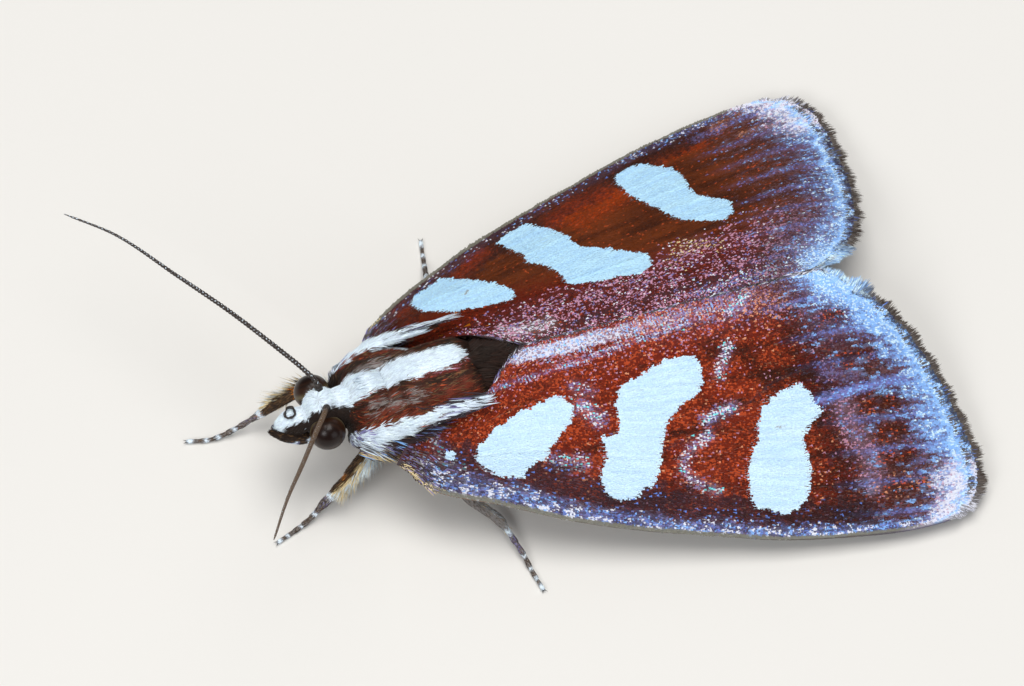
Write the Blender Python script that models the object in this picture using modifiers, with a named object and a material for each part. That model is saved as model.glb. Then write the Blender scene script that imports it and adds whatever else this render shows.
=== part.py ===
"""Mimeusemia perakana, a day-flying moth, at rest with its wings held roof-wise.

The head points to -Y, the insect's left side is at +X and up is +Z. The origin lies on the
floor under the abdomen, where the body rests, and x = 0 is the insect's middle plane.
Lengths are given in millimetres and become metres when a piece is finished.
"""
import math

import bmesh
import bpy
from mathutils import Matrix, Vector

MILLIMETRE = 0.001

# Clearance between neighbouring pieces
GAP = 0.32

# Corners closer together than this are merged
MERGE = 0.0005

# Roof of the closed forewings, measured on their upper face
RIDGE_HEIGHT = 5.92
RIDGE_FALL = 0.055
ROOF_SLOPE = 0.459
RIDGE_ROUND = 0.7
COSTA_CURL = 0.46
COSTA_CURL_FALL = 0.06
COSTA_CURL_START = 0.62
MARGIN_DROOP = 1.1
MARGIN_DROOP_START = 0.84
ROOT_SINK = 0.85
ROOT_SINK_LENGTH = 0.2
LOWEST_WING = 0.98
LOWEST_SOFTNESS = 0.3

# Forewing
MEMBRANE = 0.5
VEIN = 0.8
SCALLOP = 0.22
SCALLOP_START = 0.93
FORE_LENGTH = 24.0
FORE_ALONG = 26
FORE_ACROSS = 20
FORE_VEINS = (3, 6, 8, 10, 12, 14, 16, 18)
FORE_STEMS = (3, 8, 14, 18)
FORE_CELL_END = 0.5
FORE_ROOT = [(2.0, -9.3), (2.4, -10.6), (3.05, -11.9)]
FORE_COSTA = [(3.05, -11.9), (4.15, -10.6), (5.1, -9.2), (6.25, -7.0), (7.4, -4.7), (8.6, -1.7),
              (9.6, 1.3), (10.5, 4.0), (11.15, 6.8), (11.6, 9.4), (11.7, 11.2), (11.6, 12.5)]
FORE_MARGIN = [(0.1, 10.0), (0.6, 10.95), (1.5, 12.15), (3.0, 13.25), (5.0, 14.05),
               (7.0, 14.4), (9.0, 14.5), (10.4, 14.2), (11.2, 13.55), (11.6, 12.5)]
FORE_INNER = [(2.0, -9.3), (1.95, -8.0), (1.6, -7.0), (1.08, -6.2), (0.45, -5.35), (0.1, -4.4),
              (0.1, 10.0)]

# Hindwing, folded under the forewing
HIND_BELOW = 1.05
HIND_ROOT_SINK = 0.6
HIND_SINK_LENGTH = 0.3
HIND_MEMBRANE = 0.5
HIND_VEIN = 0.64
HIND_ALONG = 13
HIND_ACROSS = 9
HIND_VEINS = (2, 4, 6, 8)
HIND_ROOT = [(1.9, -6.9), (2.1, -7.8), (2.5, -8.7)]
HIND_COSTA = [(2.5, -8.7), (3.7, -7.2), (4.95, -4.6), (6.3, -1.0), (7.3, 2.8), (7.9, 6.0), (8.0, 8.0)]
HIND_MARGIN = [(0.5, 7.6), (2.0, 8.9), (4.2, 9.6), (6.3, 9.5), (7.5, 8.9), (8.0, 8.0)]
HIND_INNER = [(1.9, -6.9), (1.6, -5.0), (1.35, -2.4), (0.9, 1.4), (0.6, 4.8), (0.5, 7.6)]

# Thorax
THORAX_CENTRE = (0.0, -8.84, 4.2)
THORAX_HALF = (2.15, 3.18, 2.65)
THORAX_LONG_POWER = 3.5
THORAX_CROSS_POWER = 2.2
THORAX_BACK_DROP = 1.35
THORAX_BACK_FROM = -8.0
THORAX_BACK_TO = -5.9

# Collar between head and thorax
COLLAR_CENTRE = (0.0, -12.68, 5.0)
COLLAR_HALF = (1.5, 0.33, 1.75)
COLLAR_POWER = 2.6

# Shoulder flaps over the wing roots
TEGULA_PATH = [(1.82, -12.75, 5.3), (2.06, -11.2, 5.98), (2.12, -9.6, 6.34), (2.06, -8.0, 6.3)]
TEGULA_WIDTH = 0.72
TEGULA_THICK = 0.27
TEGULA_TAPER = 0.25
TEGULA_OVERHANG = 0.35
TEGULA_LOCKS = 3
TEGULA_LOCK_SPACING = 0.34
TEGULA_LOCK_LENGTH = 1.7
TEGULA_LOCK_WIDTH = 0.2
TEGULA_LOCK_THICK = 0.16

# Dark crest behind the thorax
CREST_CENTRE = (0.0, -6.75, 6.2)
CREST_HALF = (0.5, 0.75, 0.45)
CREST_LOCKS = 5
CREST_LOCK_FAN = 0.33
CREST_LOCK_LENGTH = 1.0
CREST_LOCK_WIDTH = 0.2
CREST_LOCK_THICK = 0.17

# Abdomen, its underside resting on the floor
ABDOMEN_AXIS = [(-5.27, 3.15), (-4.0, 2.5), (-2.0, 1.95), (0.0, 1.62), (2.5, 1.52), (5.0, 1.45), (8.4, 1.45)]
ABDOMEN_GIRTH = [(-5.27, 1.25), (-4.0, 1.6), (-2.0, 1.74), (0.0, 1.72), (2.5, 1.62), (5.0, 1.36), (8.4, 0.45)]
ABDOMEN_RINGS = 7
ABDOMEN_RING_SWELL = 0.07
ABDOMEN_END_CROWDING = 0.045
ABDOMEN_LOCKS = 6
ABDOMEN_LOCKS_CENTRE = (0.0, 7.1, 1.5)
ABDOMEN_LOCKS_RADIUS = 0.35
ABDOMEN_LOCKS_FIRST = 20.0
ABDOMEN_LOCKS_ARC = 140.0
ABDOMEN_LOCK_LENGTH = 1.5
ABDOMEN_LOCK_WIDTH = 0.34
ABDOMEN_LOCK_THICK = 0.2

# Head
SKULL_CENTRE = (0.0, -14.2, 5.3)
SKULL_HALF = (1.0, 0.9, 1.33)
SKULL_POWER = 2.3
FRONS_CENTRE = (0.0, -15.2, 5.1)
FRONS_HALF = (0.64, 1.18, 0.86)
FRONS_RING_CENTRE = (0.0, -15.78, 5.88)
FRONS_RING_TILT = 0.6
FRONS_RING_RADIUS = 0.25
FRONS_RING_THICK = 0.1
EYE_CENTRE = (1.24, -14.21, 5.44)
EYE_RADIUS = 0.85
EYE_INNER = 0.96

# Palps, lying against the front of the head
PALP_PATH = [(0.5, -14.55, 3.75), (0.66, -15.2, 4.05), (0.66, -15.9, 4.45), (0.5, -16.5, 4.95)]
PALP_RADII = [0.3, 0.37, 0.35, 0.17]

# Feelers
ANTENNA_RADIUS = 0.26
ANTENNA_TIP = 0.12
ANTENNA_LEFT = [(0.42, -14.1, 6.4), (0.72, -14.25, 6.8), (1.3, -14.6, 7.3), (2.35, -15.3, 8.15),
                (4.95, -16.95, 10.4), (7.6, -18.65, 12.75), (10.4, -20.3, 14.9)]
ANTENNA_RIGHT = [(-0.42, -14.1, 6.4), (-0.72, -14.22, 6.78), (-1.3, -14.55, 7.0), (-2.15, -14.97, 6.97),
                 (-5.2, -16.6, 6.8), (-8.0, -18.3, 6.6), (-10.85, -20.05, 6.35), (-12.65, -21.95, 6.4)]

# Legs, each from inside the thorax to its foot on the floor
FOOT_HEIGHT = 0.2
FORELEG_LEFT = [(0.8, -11.6, 3.4), (1.4, -12.35, 2.85), (1.7, -13.1, 2.2), (2.0, -14.05, 1.4),
                (2.2, -14.75, 0.85), (2.42, -15.35, 0.42), (2.65, -16.1, FOOT_HEIGHT),
                (2.97, -17.03, FOOT_HEIGHT)]
FORELEG_RIGHT = [(-0.8, -11.7, 3.3), (-1.7, -12.9, 3.1), (-2.5, -13.75, 3.0), (-2.78, -15.0, 2.15),
                 (-3.0, -16.15, 0.9), (-2.95, -17.2, 0.42), (-2.95, -18.2, FOOT_HEIGHT),
                 (-3.17, -19.2, FOOT_HEIGHT)]
FORELEG_RADII = [0.45, 0.45, 0.52, 0.46, 0.36, 0.27, 0.25, 0.2]
MIDLEG_LEFT = [(0.9, -9.6, 2.6), (2.2, -9.35, 2.3), (3.6, -9.05, 2.2), (4.35, -8.6, 1.7),
               (5.4, -7.5, 0.85), (6.95, -6.97, 0.42), (8.0, -6.8, FOOT_HEIGHT), (8.92, -6.66, FOOT_HEIGHT)]
MIDLEG_RIGHT = [(-0.9, -9.0, 2.6), (-2.3, -8.3, 2.2), (-4.3, -7.4, 2.05), (-5.6, -6.95, 1.6),
                (-7.0, -6.4, 1.0), (-7.9, -6.15, 0.6), (-8.85, -5.9, FOOT_HEIGHT), (-9.78, -5.69, FOOT_HEIGHT)]
MIDLEG_RADII = [0.45, 0.45, 0.42, 0.36, 0.3, 0.27, 0.25, 0.2]
HINDLEG = [(0.9, -7.2, 2.3), (2.2, -6.6, 2.15), (3.6, -5.6, 2.0), (4.1, -4.0, 1.5),
           (4.55, -1.7, 0.85), (4.85, 0.3, 0.4), (5.05, 1.9, FOOT_HEIGHT), (5.2, 3.3, FOOT_HEIGHT)]
HINDLEG_RADII = [0.45, 0.45, 0.42, 0.36, 0.3, 0.27, 0.25, 0.2]

# Colour, roughness and metallic value of each finish
FINISHES = {
    "wing": ((0.16, 0.03, 0.025, 1.0), 0.55, 0.0),
    "hindwing": ((0.62, 0.25, 0.03, 1.0), 0.6, 0.0),
    "fur": ((0.12, 0.04, 0.03, 1.0), 0.9, 0.0),
    "white fur": ((0.8, 0.84, 0.88, 1.0), 0.9, 0.0),
    "dark fur": ((0.03, 0.025, 0.03, 1.0), 0.9, 0.0),
    "abdomen": ((0.55, 0.27, 0.05, 1.0), 0.85, 0.0),
    "eye": ((0.035, 0.012, 0.008, 1.0), 0.15, 0.0),
    "feeler": ((0.05, 0.04, 0.035, 1.0), 0.5, 0.0),
    "leg": ((0.25, 0.22, 0.17, 1.0), 0.8, 0.0),
}


def clear_scene():
    """Remove every object of the opened scene."""
    for thing in list(bpy.data.objects):
        bpy.data.objects.remove(thing, do_unlink=True)


def smoothstep(low, high, value):
    """Rise softly from 0 at low to 1 at high."""
    share = min(max((value - low) / (high - low), 0.0), 1.0)
    return share * share * (3.0 - 2.0 * share)


def knots(points):
    """Share of the whole length at which each point of a path lies."""
    lengths = [0.0]
    for start, end in zip(points, points[1:]):
        lengths.append(lengths[-1] + (Vector(end) - Vector(start)).length)
    return [length / lengths[-1] for length in lengths]


def smooth_value(points, places, share):
    """Value at a share of a smooth curve whose points lie at the given places."""
    share = min(max(share, 0.0), 1.0)
    last = len(points) - 1
    index = max(number for number in range(last) if places[number] <= share)
    before = max(index - 1, 0)
    after = min(index + 2, last)
    points = [Vector(point) for point in points]
    span = places[index + 1] - places[index]
    step = (share - places[index]) / span
    pull_in = (points[index + 1] - points[before]) / (places[index + 1] - places[before]) * span
    pull_out = (points[after] - points[index]) / (places[after] - places[index]) * span
    return (points[index] * (2 * step ** 3 - 3 * step ** 2 + 1)
            + pull_in * (step ** 3 - 2 * step ** 2 + step)
            + points[index + 1] * (3 * step ** 2 - 2 * step ** 3)
            + pull_out * (step ** 3 - step ** 2))


def along(points, share):
    """Point at a share, 0 to 1, of the length of a smooth curve through the given points."""
    return smooth_value(points, knots(points), share)


def at_station(table, station):
    """Value of a smooth curve of (station, value) pairs at one station."""
    low = 0.0
    high = 1.0
    for _ in range(30):
        middle = (low + high) / 2.0
        if along(table, middle)[0] < station:
            low = middle
        else:
            high = middle
    return along(table, low)[1]


def add_object(name, mesh):
    """Put a mesh into the scene as an object."""
    thing = bpy.data.objects.new(name, mesh)
    bpy.context.scene.collection.objects.link(thing)
    return thing


def from_bmesh(name, shape):
    """Turn a bmesh into an object."""
    bmesh.ops.recalc_face_normals(shape, faces=shape.faces)
    mesh = bpy.data.meshes.new(name)
    shape.to_mesh(mesh)
    shape.free()
    return add_object(name, mesh)


def evaluated(thing):
    """Replace an object by the mesh that its modifiers or its bevel give."""
    graph = bpy.context.evaluated_depsgraph_get()
    mesh = bpy.data.meshes.new_from_object(thing.evaluated_get(graph))
    name = thing.name
    bpy.data.objects.remove(thing, do_unlink=True)
    mesh.name = name
    return add_object(name, mesh)


def ball(name, place_of, around=20, rings=12):
    """A unit sphere with poles on the Y axis, each point moved to where place_of puts it."""
    shape = bmesh.new()
    bmesh.ops.create_uvsphere(shape, u_segments=around, v_segments=rings, radius=1.0)
    bmesh.ops.rotate(shape, verts=shape.verts, matrix=Matrix.Rotation(math.pi / 2, 3, "X"))
    for vertex in shape.verts:
        vertex.co = place_of(vertex.co.copy())
    return from_bmesh(name, shape)


def ellipsoid(name, centre, half, around=20, rings=12, power=2.0):
    """A rounded body; a power above 2 makes it fuller."""
    def place_of(unit):
        length = sum(abs(part) ** power for part in unit) ** (1.0 / power)
        return Vector([centre[axis] + half[axis] * unit[axis] / length for axis in range(3)])
    return ball(name, place_of, around, rings)


def tube(name, path, radii, samples, resolution=2):
    """A round limb along a smooth path, with a radius that follows its own smooth curve."""
    curve = bpy.data.curves.new(name, "CURVE")
    curve.dimensions = "3D"
    curve.bevel_depth = 1.0
    curve.bevel_resolution = resolution
    curve.use_fill_caps = True
    spline = curve.splines.new("POLY")
    spline.points.add(samples)
    places = knots(path)
    sizes = [(radius, 0.0) for radius in radii]
    for index, point in enumerate(spline.points):
        share = index / samples
        point.co = (*smooth_value(path, places, share), 1.0)
        point.radius = smooth_value(sizes, places, share)[0]
    limb = evaluated(add_object(name, curve))
    shape = bmesh.new()
    shape.from_mesh(limb.data)
    bmesh.ops.remove_doubles(shape, verts=shape.verts, dist=MERGE)
    shape.to_mesh(limb.data)
    shape.free()
    return limb


def swollen(thing, amount=GAP):
    """A copy of a rounded piece, larger by the clearance on every side."""
    shape = bmesh.new()
    shape.from_mesh(thing.data)
    shape.normal_update()
    moves = [vertex.normal * amount * vertex.calc_shell_factor() for vertex in shape.verts]
    for vertex, move in zip(shape.verts, moves):
        vertex.co += move
    return from_bmesh(thing.name + "_clearance", shape)


def combine(thing, others, operation):
    """Join other pieces to a piece, or cut them from it, and remove them."""
    group = bpy.data.collections.new(thing.name + "_operands")
    for other in others:
        group.objects.link(other)
    modifier = thing.modifiers.new("combine", "BOOLEAN")
    modifier.operation = operation
    modifier.operand_type = "COLLECTION"
    modifier.collection = group
    modifier.solver = "EXACT"
    result = evaluated(thing)
    for other in others:
        bpy.data.objects.remove(other, do_unlink=True)
    bpy.data.collections.remove(group)
    return keep_largest(result)


def keep_largest(thing):
    """Keep only the largest closed surface of a piece."""
    shape = bmesh.new()
    shape.from_mesh(thing.data)
    bmesh.ops.remove_doubles(shape, verts=shape.verts, dist=MERGE)
    bmesh.ops.dissolve_degenerate(shape, edges=shape.edges, dist=MERGE)
    left = set(shape.faces)
    groups = []
    while left:
        group = set()
        front = [left.pop()]
        while front:
            face = front.pop()
            group.add(face)
            for edge in face.edges:
                for other in edge.link_faces:
                    if other in left:
                        left.remove(other)
                        front.append(other)
        groups.append(group)
    groups.sort(key=lambda faces: sum(face.calc_area() for face in faces))
    scrap = [face for group in groups[:-1] for face in group]
    bmesh.ops.delete(shape, geom=scrap, context="FACES")
    bmesh.ops.triangulate(shape, faces=shape.faces)
    shape.to_mesh(thing.data)
    shape.free()
    return thing


def cut_by_plane(thing, point, normal):
    """Cut away what lies beyond a plane and close the cut with a flat face."""
    shape = bmesh.new()
    shape.from_mesh(thing.data)
    geometry = list(shape.verts) + list(shape.edges) + list(shape.faces)
    bmesh.ops.bisect_plane(shape, geom=geometry, dist=MERGE, plane_co=point, plane_no=normal,
                           clear_outer=True)
    rim = [edge for edge in shape.edges if edge.is_boundary]
    bmesh.ops.holes_fill(shape, edges=rim)
    bmesh.ops.recalc_face_normals(shape, faces=shape.faces)
    shape.to_mesh(thing.data)
    shape.free()
    return thing


def rest_on_floor(thing):
    """Flatten the underside of a piece where it meets the floor."""
    return cut_by_plane(thing, (0.0, 0.0, 0.0), (0.0, 0.0, -1.0))


def mirrored(thing, name):
    """A copy of a left-hand piece on the right-hand side."""
    shape = bmesh.new()
    shape.from_mesh(thing.data)
    bmesh.ops.scale(shape, verts=shape.verts, vec=(-1.0, 1.0, 1.0))
    bmesh.ops.reverse_faces(shape, faces=shape.faces)
    return from_bmesh(name, shape)


def lock(name, root, heading, up, length, width, thick, bend):
    """A flat, tapered lock of long scales that bends along its length."""
    forward = Vector(heading).normalized()
    side = forward.cross(Vector(up)).normalized()
    rise = side.cross(forward)
    shape = bmesh.new()
    bmesh.ops.create_cone(shape, cap_ends=True, segments=6, radius1=1.0, radius2=0.25, depth=1.0)
    bmesh.ops.subdivide_edges(shape, edges=[edge for edge in shape.edges
                                            if abs(edge.verts[0].co.z - edge.verts[1].co.z) > 0.5],
                              cuts=2)
    for vertex in shape.verts:
        share = vertex.co.z + 0.5
        swell = 0.75 + 0.5 * math.sin(math.pi * share)
        across = vertex.co.x * width * swell
        deep = vertex.co.y * thick * swell
        droop = bend * length * share * share
        vertex.co = (Vector(root) + forward * length * share + side * across + rise * (deep - droop))
    bmesh.ops.triangulate(shape, faces=shape.faces)
    return from_bmesh(name, shape)


def roof_height(x, y):
    """Upper face of the forewings before their edges curl."""
    slope = math.hypot(ROOF_SLOPE * x, RIDGE_ROUND) - RIDGE_ROUND
    return RIDGE_HEIGHT - RIDGE_FALL * y - slope


def above_floor(height):
    """Keep a height softly above the lowest part of the wings."""
    return LOWEST_WING + LOWEST_SOFTNESS * math.log1p(math.exp((height - LOWEST_WING) / LOWEST_SOFTNESS))


def spread(root, costa, margin, inner, u, v):
    """Place inside four edges: u runs from the root outwards, v from inner edge to costa."""
    low = along(inner, u)
    high = along(costa, u)
    near = along(root, v)
    far = along(margin, v)
    corners = (Vector(root[0]) * (1 - u) * (1 - v) + Vector(margin[0]) * u * (1 - v)
               + Vector(root[-1]) * (1 - u) * v + Vector(margin[-1]) * u * v)
    return low * (1 - v) + high * v + near * (1 - u) + far * u - corners


def forewing_point(u, v):
    """Upper face of the left forewing."""
    place = spread(FORE_ROOT, FORE_COSTA, FORE_MARGIN, FORE_INNER, u, v)
    x = place.x
    y = place.y
    curl = max(COSTA_CURL - COSTA_CURL_FALL * y, 0.0) * smoothstep(COSTA_CURL_START, 1.0, v)
    droop = MARGIN_DROOP * smoothstep(MARGIN_DROOP_START, 1.0, u)
    droop *= math.sin(math.pi * min(v / 0.8, 1.0)) ** 0.8 if v < 0.8 else 0.0
    sink = ROOT_SINK * (1.0 - smoothstep(0.0, ROOT_SINK_LENGTH, u))
    return Vector((x, y, above_floor(roof_height(x, y) - curl - droop - sink)))


def hindwing_point(u, v):
    """Middle face of the left hindwing."""
    place = spread(HIND_ROOT, HIND_COSTA, HIND_MARGIN, HIND_INNER, u, v)
    sink = HIND_ROOT_SINK * (1.0 - smoothstep(0.0, HIND_SINK_LENGTH, u))
    height = roof_height(place.x, place.y) - MEMBRANE / 2 - HIND_BELOW - sink
    return Vector((place.x, place.y, height))


def vaned(name, point_of, steps_along, steps_across, vein_weight, membrane, vein):
    """A thin wing with its veins raised as ridges on both faces."""
    shape = bmesh.new()
    bmesh.ops.create_grid(shape, x_segments=steps_along, y_segments=steps_across, size=0.5)
    bmesh.ops.triangulate(shape, faces=shape.faces, quad_method="FIXED")
    weights = []
    for vertex in shape.verts:
        u = vertex.co.x + 0.5
        v = vertex.co.y + 0.5
        weights.append(vein_weight(u, round(v * steps_across)))
        vertex.co = point_of(u, v)
    wing = from_bmesh(name, shape)
    group = wing.vertex_groups.new(name="veins")
    for index, weight in enumerate(weights):
        group.add([index], weight, "REPLACE")
    modifier = wing.modifiers.new("thickness", "SOLIDIFY")
    modifier.thickness = vein
    modifier.offset = 0.0
    modifier.vertex_group = group.name
    modifier.thickness_vertex_group = membrane / vein
    wing = evaluated(wing)
    shape = bmesh.new()
    shape.from_mesh(wing.data)
    bmesh.ops.triangulate(shape, faces=shape.faces)
    bmesh.ops.recalc_face_normals(shape, faces=shape.faces)
    shape.to_mesh(wing.data)
    shape.free()
    return wing


def fore_vein_weight(u, line):
    """1 on a vein of the forewing, 0 on its membrane."""
    if line in FORE_STEMS:
        return 1.0
    if line in FORE_VEINS:
        return smoothstep(FORE_CELL_END - 0.03, FORE_CELL_END + 0.04, u)
    in_cell = FORE_STEMS[1] < line < FORE_STEMS[2]
    return 1.0 if in_cell and abs(u - FORE_CELL_END) < 0.5 / FORE_ALONG else 0.0


def hind_vein_weight(u, line):
    """1 on a vein of the hindwing, 0 on its membrane."""
    return 1.0 if line in HIND_VEINS else 0.0


def forewing_middle(u, v):
    """Middle face of the left forewing, with its outer edge scalloped between the veins."""
    line = v * FORE_ACROSS
    inset = SCALLOP * (0.5 - 0.5 * math.cos(math.pi * line)) * smoothstep(SCALLOP_START, 1.0, u)
    u = u - inset / FORE_LENGTH
    top = forewing_point(u, v)
    return top - Vector((0.0, 0.0, MEMBRANE / 2))


def make_thorax():
    """The deep, furred middle body; its back falls away under the crest."""
    def place_of(unit):
        cross = abs(unit.x) ** THORAX_CROSS_POWER + abs(unit.z) ** THORAX_CROSS_POWER
        cross = max(cross, 1e-9) ** (1.0 / THORAX_CROSS_POWER)
        reach = min(abs(unit.y), 1.0)
        girth = (1.0 - reach ** THORAX_LONG_POWER) ** (1.0 / THORAX_LONG_POWER)
        x = THORAX_CENTRE[0] + THORAX_HALF[0] * girth * unit.x / cross
        y = THORAX_CENTRE[1] + THORAX_HALF[1] * unit.y
        z = THORAX_HALF[2] * girth * unit.z / cross
        if z > 0.0:
            z -= z / THORAX_HALF[2] * THORAX_BACK_DROP * smoothstep(THORAX_BACK_FROM, THORAX_BACK_TO, y)
        return Vector((x, y, THORAX_CENTRE[2] + z))
    return ball("thorax", place_of, 24, 18)


def make_abdomen():
    """Ringed abdomen with a tuft of long scales at its end."""
    first = ABDOMEN_AXIS[0][0]
    length = ABDOMEN_AXIS[-1][0] - first

    def place_of(unit):
        share = math.acos(max(min(-unit.y, 1.0), -1.0)) / math.pi
        share += ABDOMEN_END_CROWDING * math.sin(2.0 * math.pi * share)
        y = first + length * share
        ring = math.hypot(unit.x, unit.z)
        girth = at_station(ABDOMEN_GIRTH, y) if 0.0 < share < 1.0 else 0.0
        phase = share * ABDOMEN_RINGS % 1.0
        girth *= 1.0 + ABDOMEN_RING_SWELL * (phase - 0.5) if 0.06 < share < 0.96 else 1.0
        girth *= min(1.0, 14.0 * min(share, 1.0 - share)) ** 0.5
        height = at_station(ABDOMEN_AXIS, y)
        if ring < 1e-6:
            return Vector((0.0, y, height))
        return Vector((girth * unit.x / ring, y, height + girth * unit.z / ring))

    body = ball("abdomen", place_of, 20, 36)
    locks = []
    for index in range(ABDOMEN_LOCKS):
        turn = math.radians(ABDOMEN_LOCKS_FIRST + index * ABDOMEN_LOCKS_ARC / (ABDOMEN_LOCKS - 1))
        outward = Vector((math.cos(turn), 0.0, math.sin(turn)))
        root = Vector(ABDOMEN_LOCKS_CENTRE) + outward * ABDOMEN_LOCKS_RADIUS
        heading = Vector((outward.x * 0.35, 1.0, outward.z * 0.12))
        locks.append(lock("lock", root, heading, outward, ABDOMEN_LOCK_LENGTH, ABDOMEN_LOCK_WIDTH,
                          ABDOMEN_LOCK_THICK, 0.05))
    return rest_on_floor(combine(body, locks, "UNION"))


def make_head():
    """Skull, swollen front with its raised ring, and the hollows that hold the eyes."""
    skull = ellipsoid("head", SKULL_CENTRE, SKULL_HALF, 24, 16, SKULL_POWER)
    frons = ellipsoid("frons", FRONS_CENTRE, FRONS_HALF, 20, 14)
    ring = ring_at("frons_ring")
    skull = combine(skull, [frons, ring], "UNION")
    hollows = [eye_ball("hollow", side, EYE_RADIUS + GAP, EYE_INNER - GAP) for side in (1.0, -1.0)]
    return combine(skull, hollows, "DIFFERENCE")


def head_clearance():
    """Larger copies of skull and front, to cut the palps and feelers clear of them."""
    skull_half = [half + GAP for half in SKULL_HALF]
    frons_half = [half + GAP for half in FRONS_HALF]
    return [ellipsoid("skull_clearance", SKULL_CENTRE, skull_half, 24, 16, SKULL_POWER),
            ellipsoid("frons_clearance", FRONS_CENTRE, frons_half, 20, 14)]


def ring_at(name):
    """The raised ring on the front of the head."""
    shape = bmesh.new()
    bmesh.ops.create_circle(shape, segments=8, radius=FRONS_RING_THICK)
    bmesh.ops.rotate(shape, verts=shape.verts, matrix=Matrix.Rotation(math.pi / 2, 3, "X"))
    bmesh.ops.translate(shape, verts=shape.verts, vec=(FRONS_RING_RADIUS, 0.0, 0.0))
    bmesh.ops.spin(shape, geom=list(shape.verts) + list(shape.edges), cent=(0.0, 0.0, 0.0),
                   axis=(0.0, 0.0, 1.0), angle=2 * math.pi, steps=16, use_merge=True)
    bmesh.ops.remove_doubles(shape, verts=shape.verts, dist=MERGE)
    bmesh.ops.rotate(shape, verts=shape.verts, matrix=Matrix.Rotation(FRONS_RING_TILT, 3, "X"))
    bmesh.ops.translate(shape, verts=shape.verts, vec=FRONS_RING_CENTRE)
    return from_bmesh(name, shape)


def eye_ball(name, side, radius, inner):
    """A domed eye, flat where it faces the head."""
    def place_of(unit):
        return Vector((side * EYE_CENTRE[0], EYE_CENTRE[1], EYE_CENTRE[2])) + unit * radius
    dome = ball(name, place_of, 20, 14)
    return cut_by_plane(dome, (side * inner, 0.0, 0.0), (-side, 0.0, 0.0))


def make_tegula():
    """A long shoulder flap that ends in loose locks of scales."""
    def place_of(unit):
        share = 0.5 - 0.5 * unit.y
        centre = along(TEGULA_PATH, 1.0 - share)
        outward = Vector((centre.x, 0.0, centre.z - THORAX_CENTRE[2])).normalized()
        across = outward.cross(Vector((0.0, 1.0, 0.0))).normalized()
        fullness = 1.0 - TEGULA_TAPER * share
        end = Vector((0.0, TEGULA_OVERHANG * unit.y * abs(unit.y), 0.0))
        return centre + end + across * unit.x * TEGULA_WIDTH * fullness + outward * unit.z * TEGULA_THICK
    flap = ball("tegula_l", place_of, 16, 14)
    locks = []
    tail = Vector(TEGULA_PATH[-1])
    for index in range(TEGULA_LOCKS):
        offset = (index - (TEGULA_LOCKS - 1) / 2) * TEGULA_LOCK_SPACING
        root = tail + Vector((offset, -TEGULA_OVERHANG, 0.02 - 0.24 * offset))
        heading = (0.12 + 0.1 * offset, 1.0, 0.02 + 0.05 * index)
        locks.append(lock("lock", root, heading, (0.5, 0.0, 1.0), TEGULA_LOCK_LENGTH, TEGULA_LOCK_WIDTH,
                          TEGULA_LOCK_THICK, 0.06))
    return combine(flap, locks, "UNION")


def make_crest():
    """A raised dark tuft of flat locks between the wing roots."""
    mound = ellipsoid("crest", CREST_CENTRE, CREST_HALF, 16, 10)
    locks = []
    for index in range(CREST_LOCKS):
        turn = (index - (CREST_LOCKS - 1) / 2) * CREST_LOCK_FAN
        root = Vector(CREST_CENTRE) + Vector((0.62 * turn, -0.25, 0.16))
        heading = (0.35 * turn, 1.0, 0.5 - 0.5 * abs(turn))
        locks.append(lock("lock", root, heading, (0.0, 0.0, 1.0), CREST_LOCK_LENGTH, CREST_LOCK_WIDTH,
                          CREST_LOCK_THICK, 0.12))
    return combine(mound, locks, "UNION")


def finish(thing, name, finish_name):
    """Name a piece, give it its finish and bring it to real size."""
    colour, roughness, metallic = FINISHES[finish_name]
    thing.name = name
    thing.data.name = name
    material = bpy.data.materials.new(name)
    material.use_nodes = True
    shader = material.node_tree.nodes["Principled BSDF"]
    shader.inputs["Base Color"].default_value = colour
    shader.inputs["Roughness"].default_value = roughness
    shader.inputs["Metallic"].default_value = metallic
    thing.data.materials.clear()
    thing.data.materials.append(material)
    thing.data.transform(Matrix.Scale(MILLIMETRE, 4))
    thing.data.shade_smooth()
    for collection in list(thing.users_collection):
        collection.objects.unlink(thing)
    bpy.data.collections["moth"].objects.link(thing)
    return thing


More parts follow.
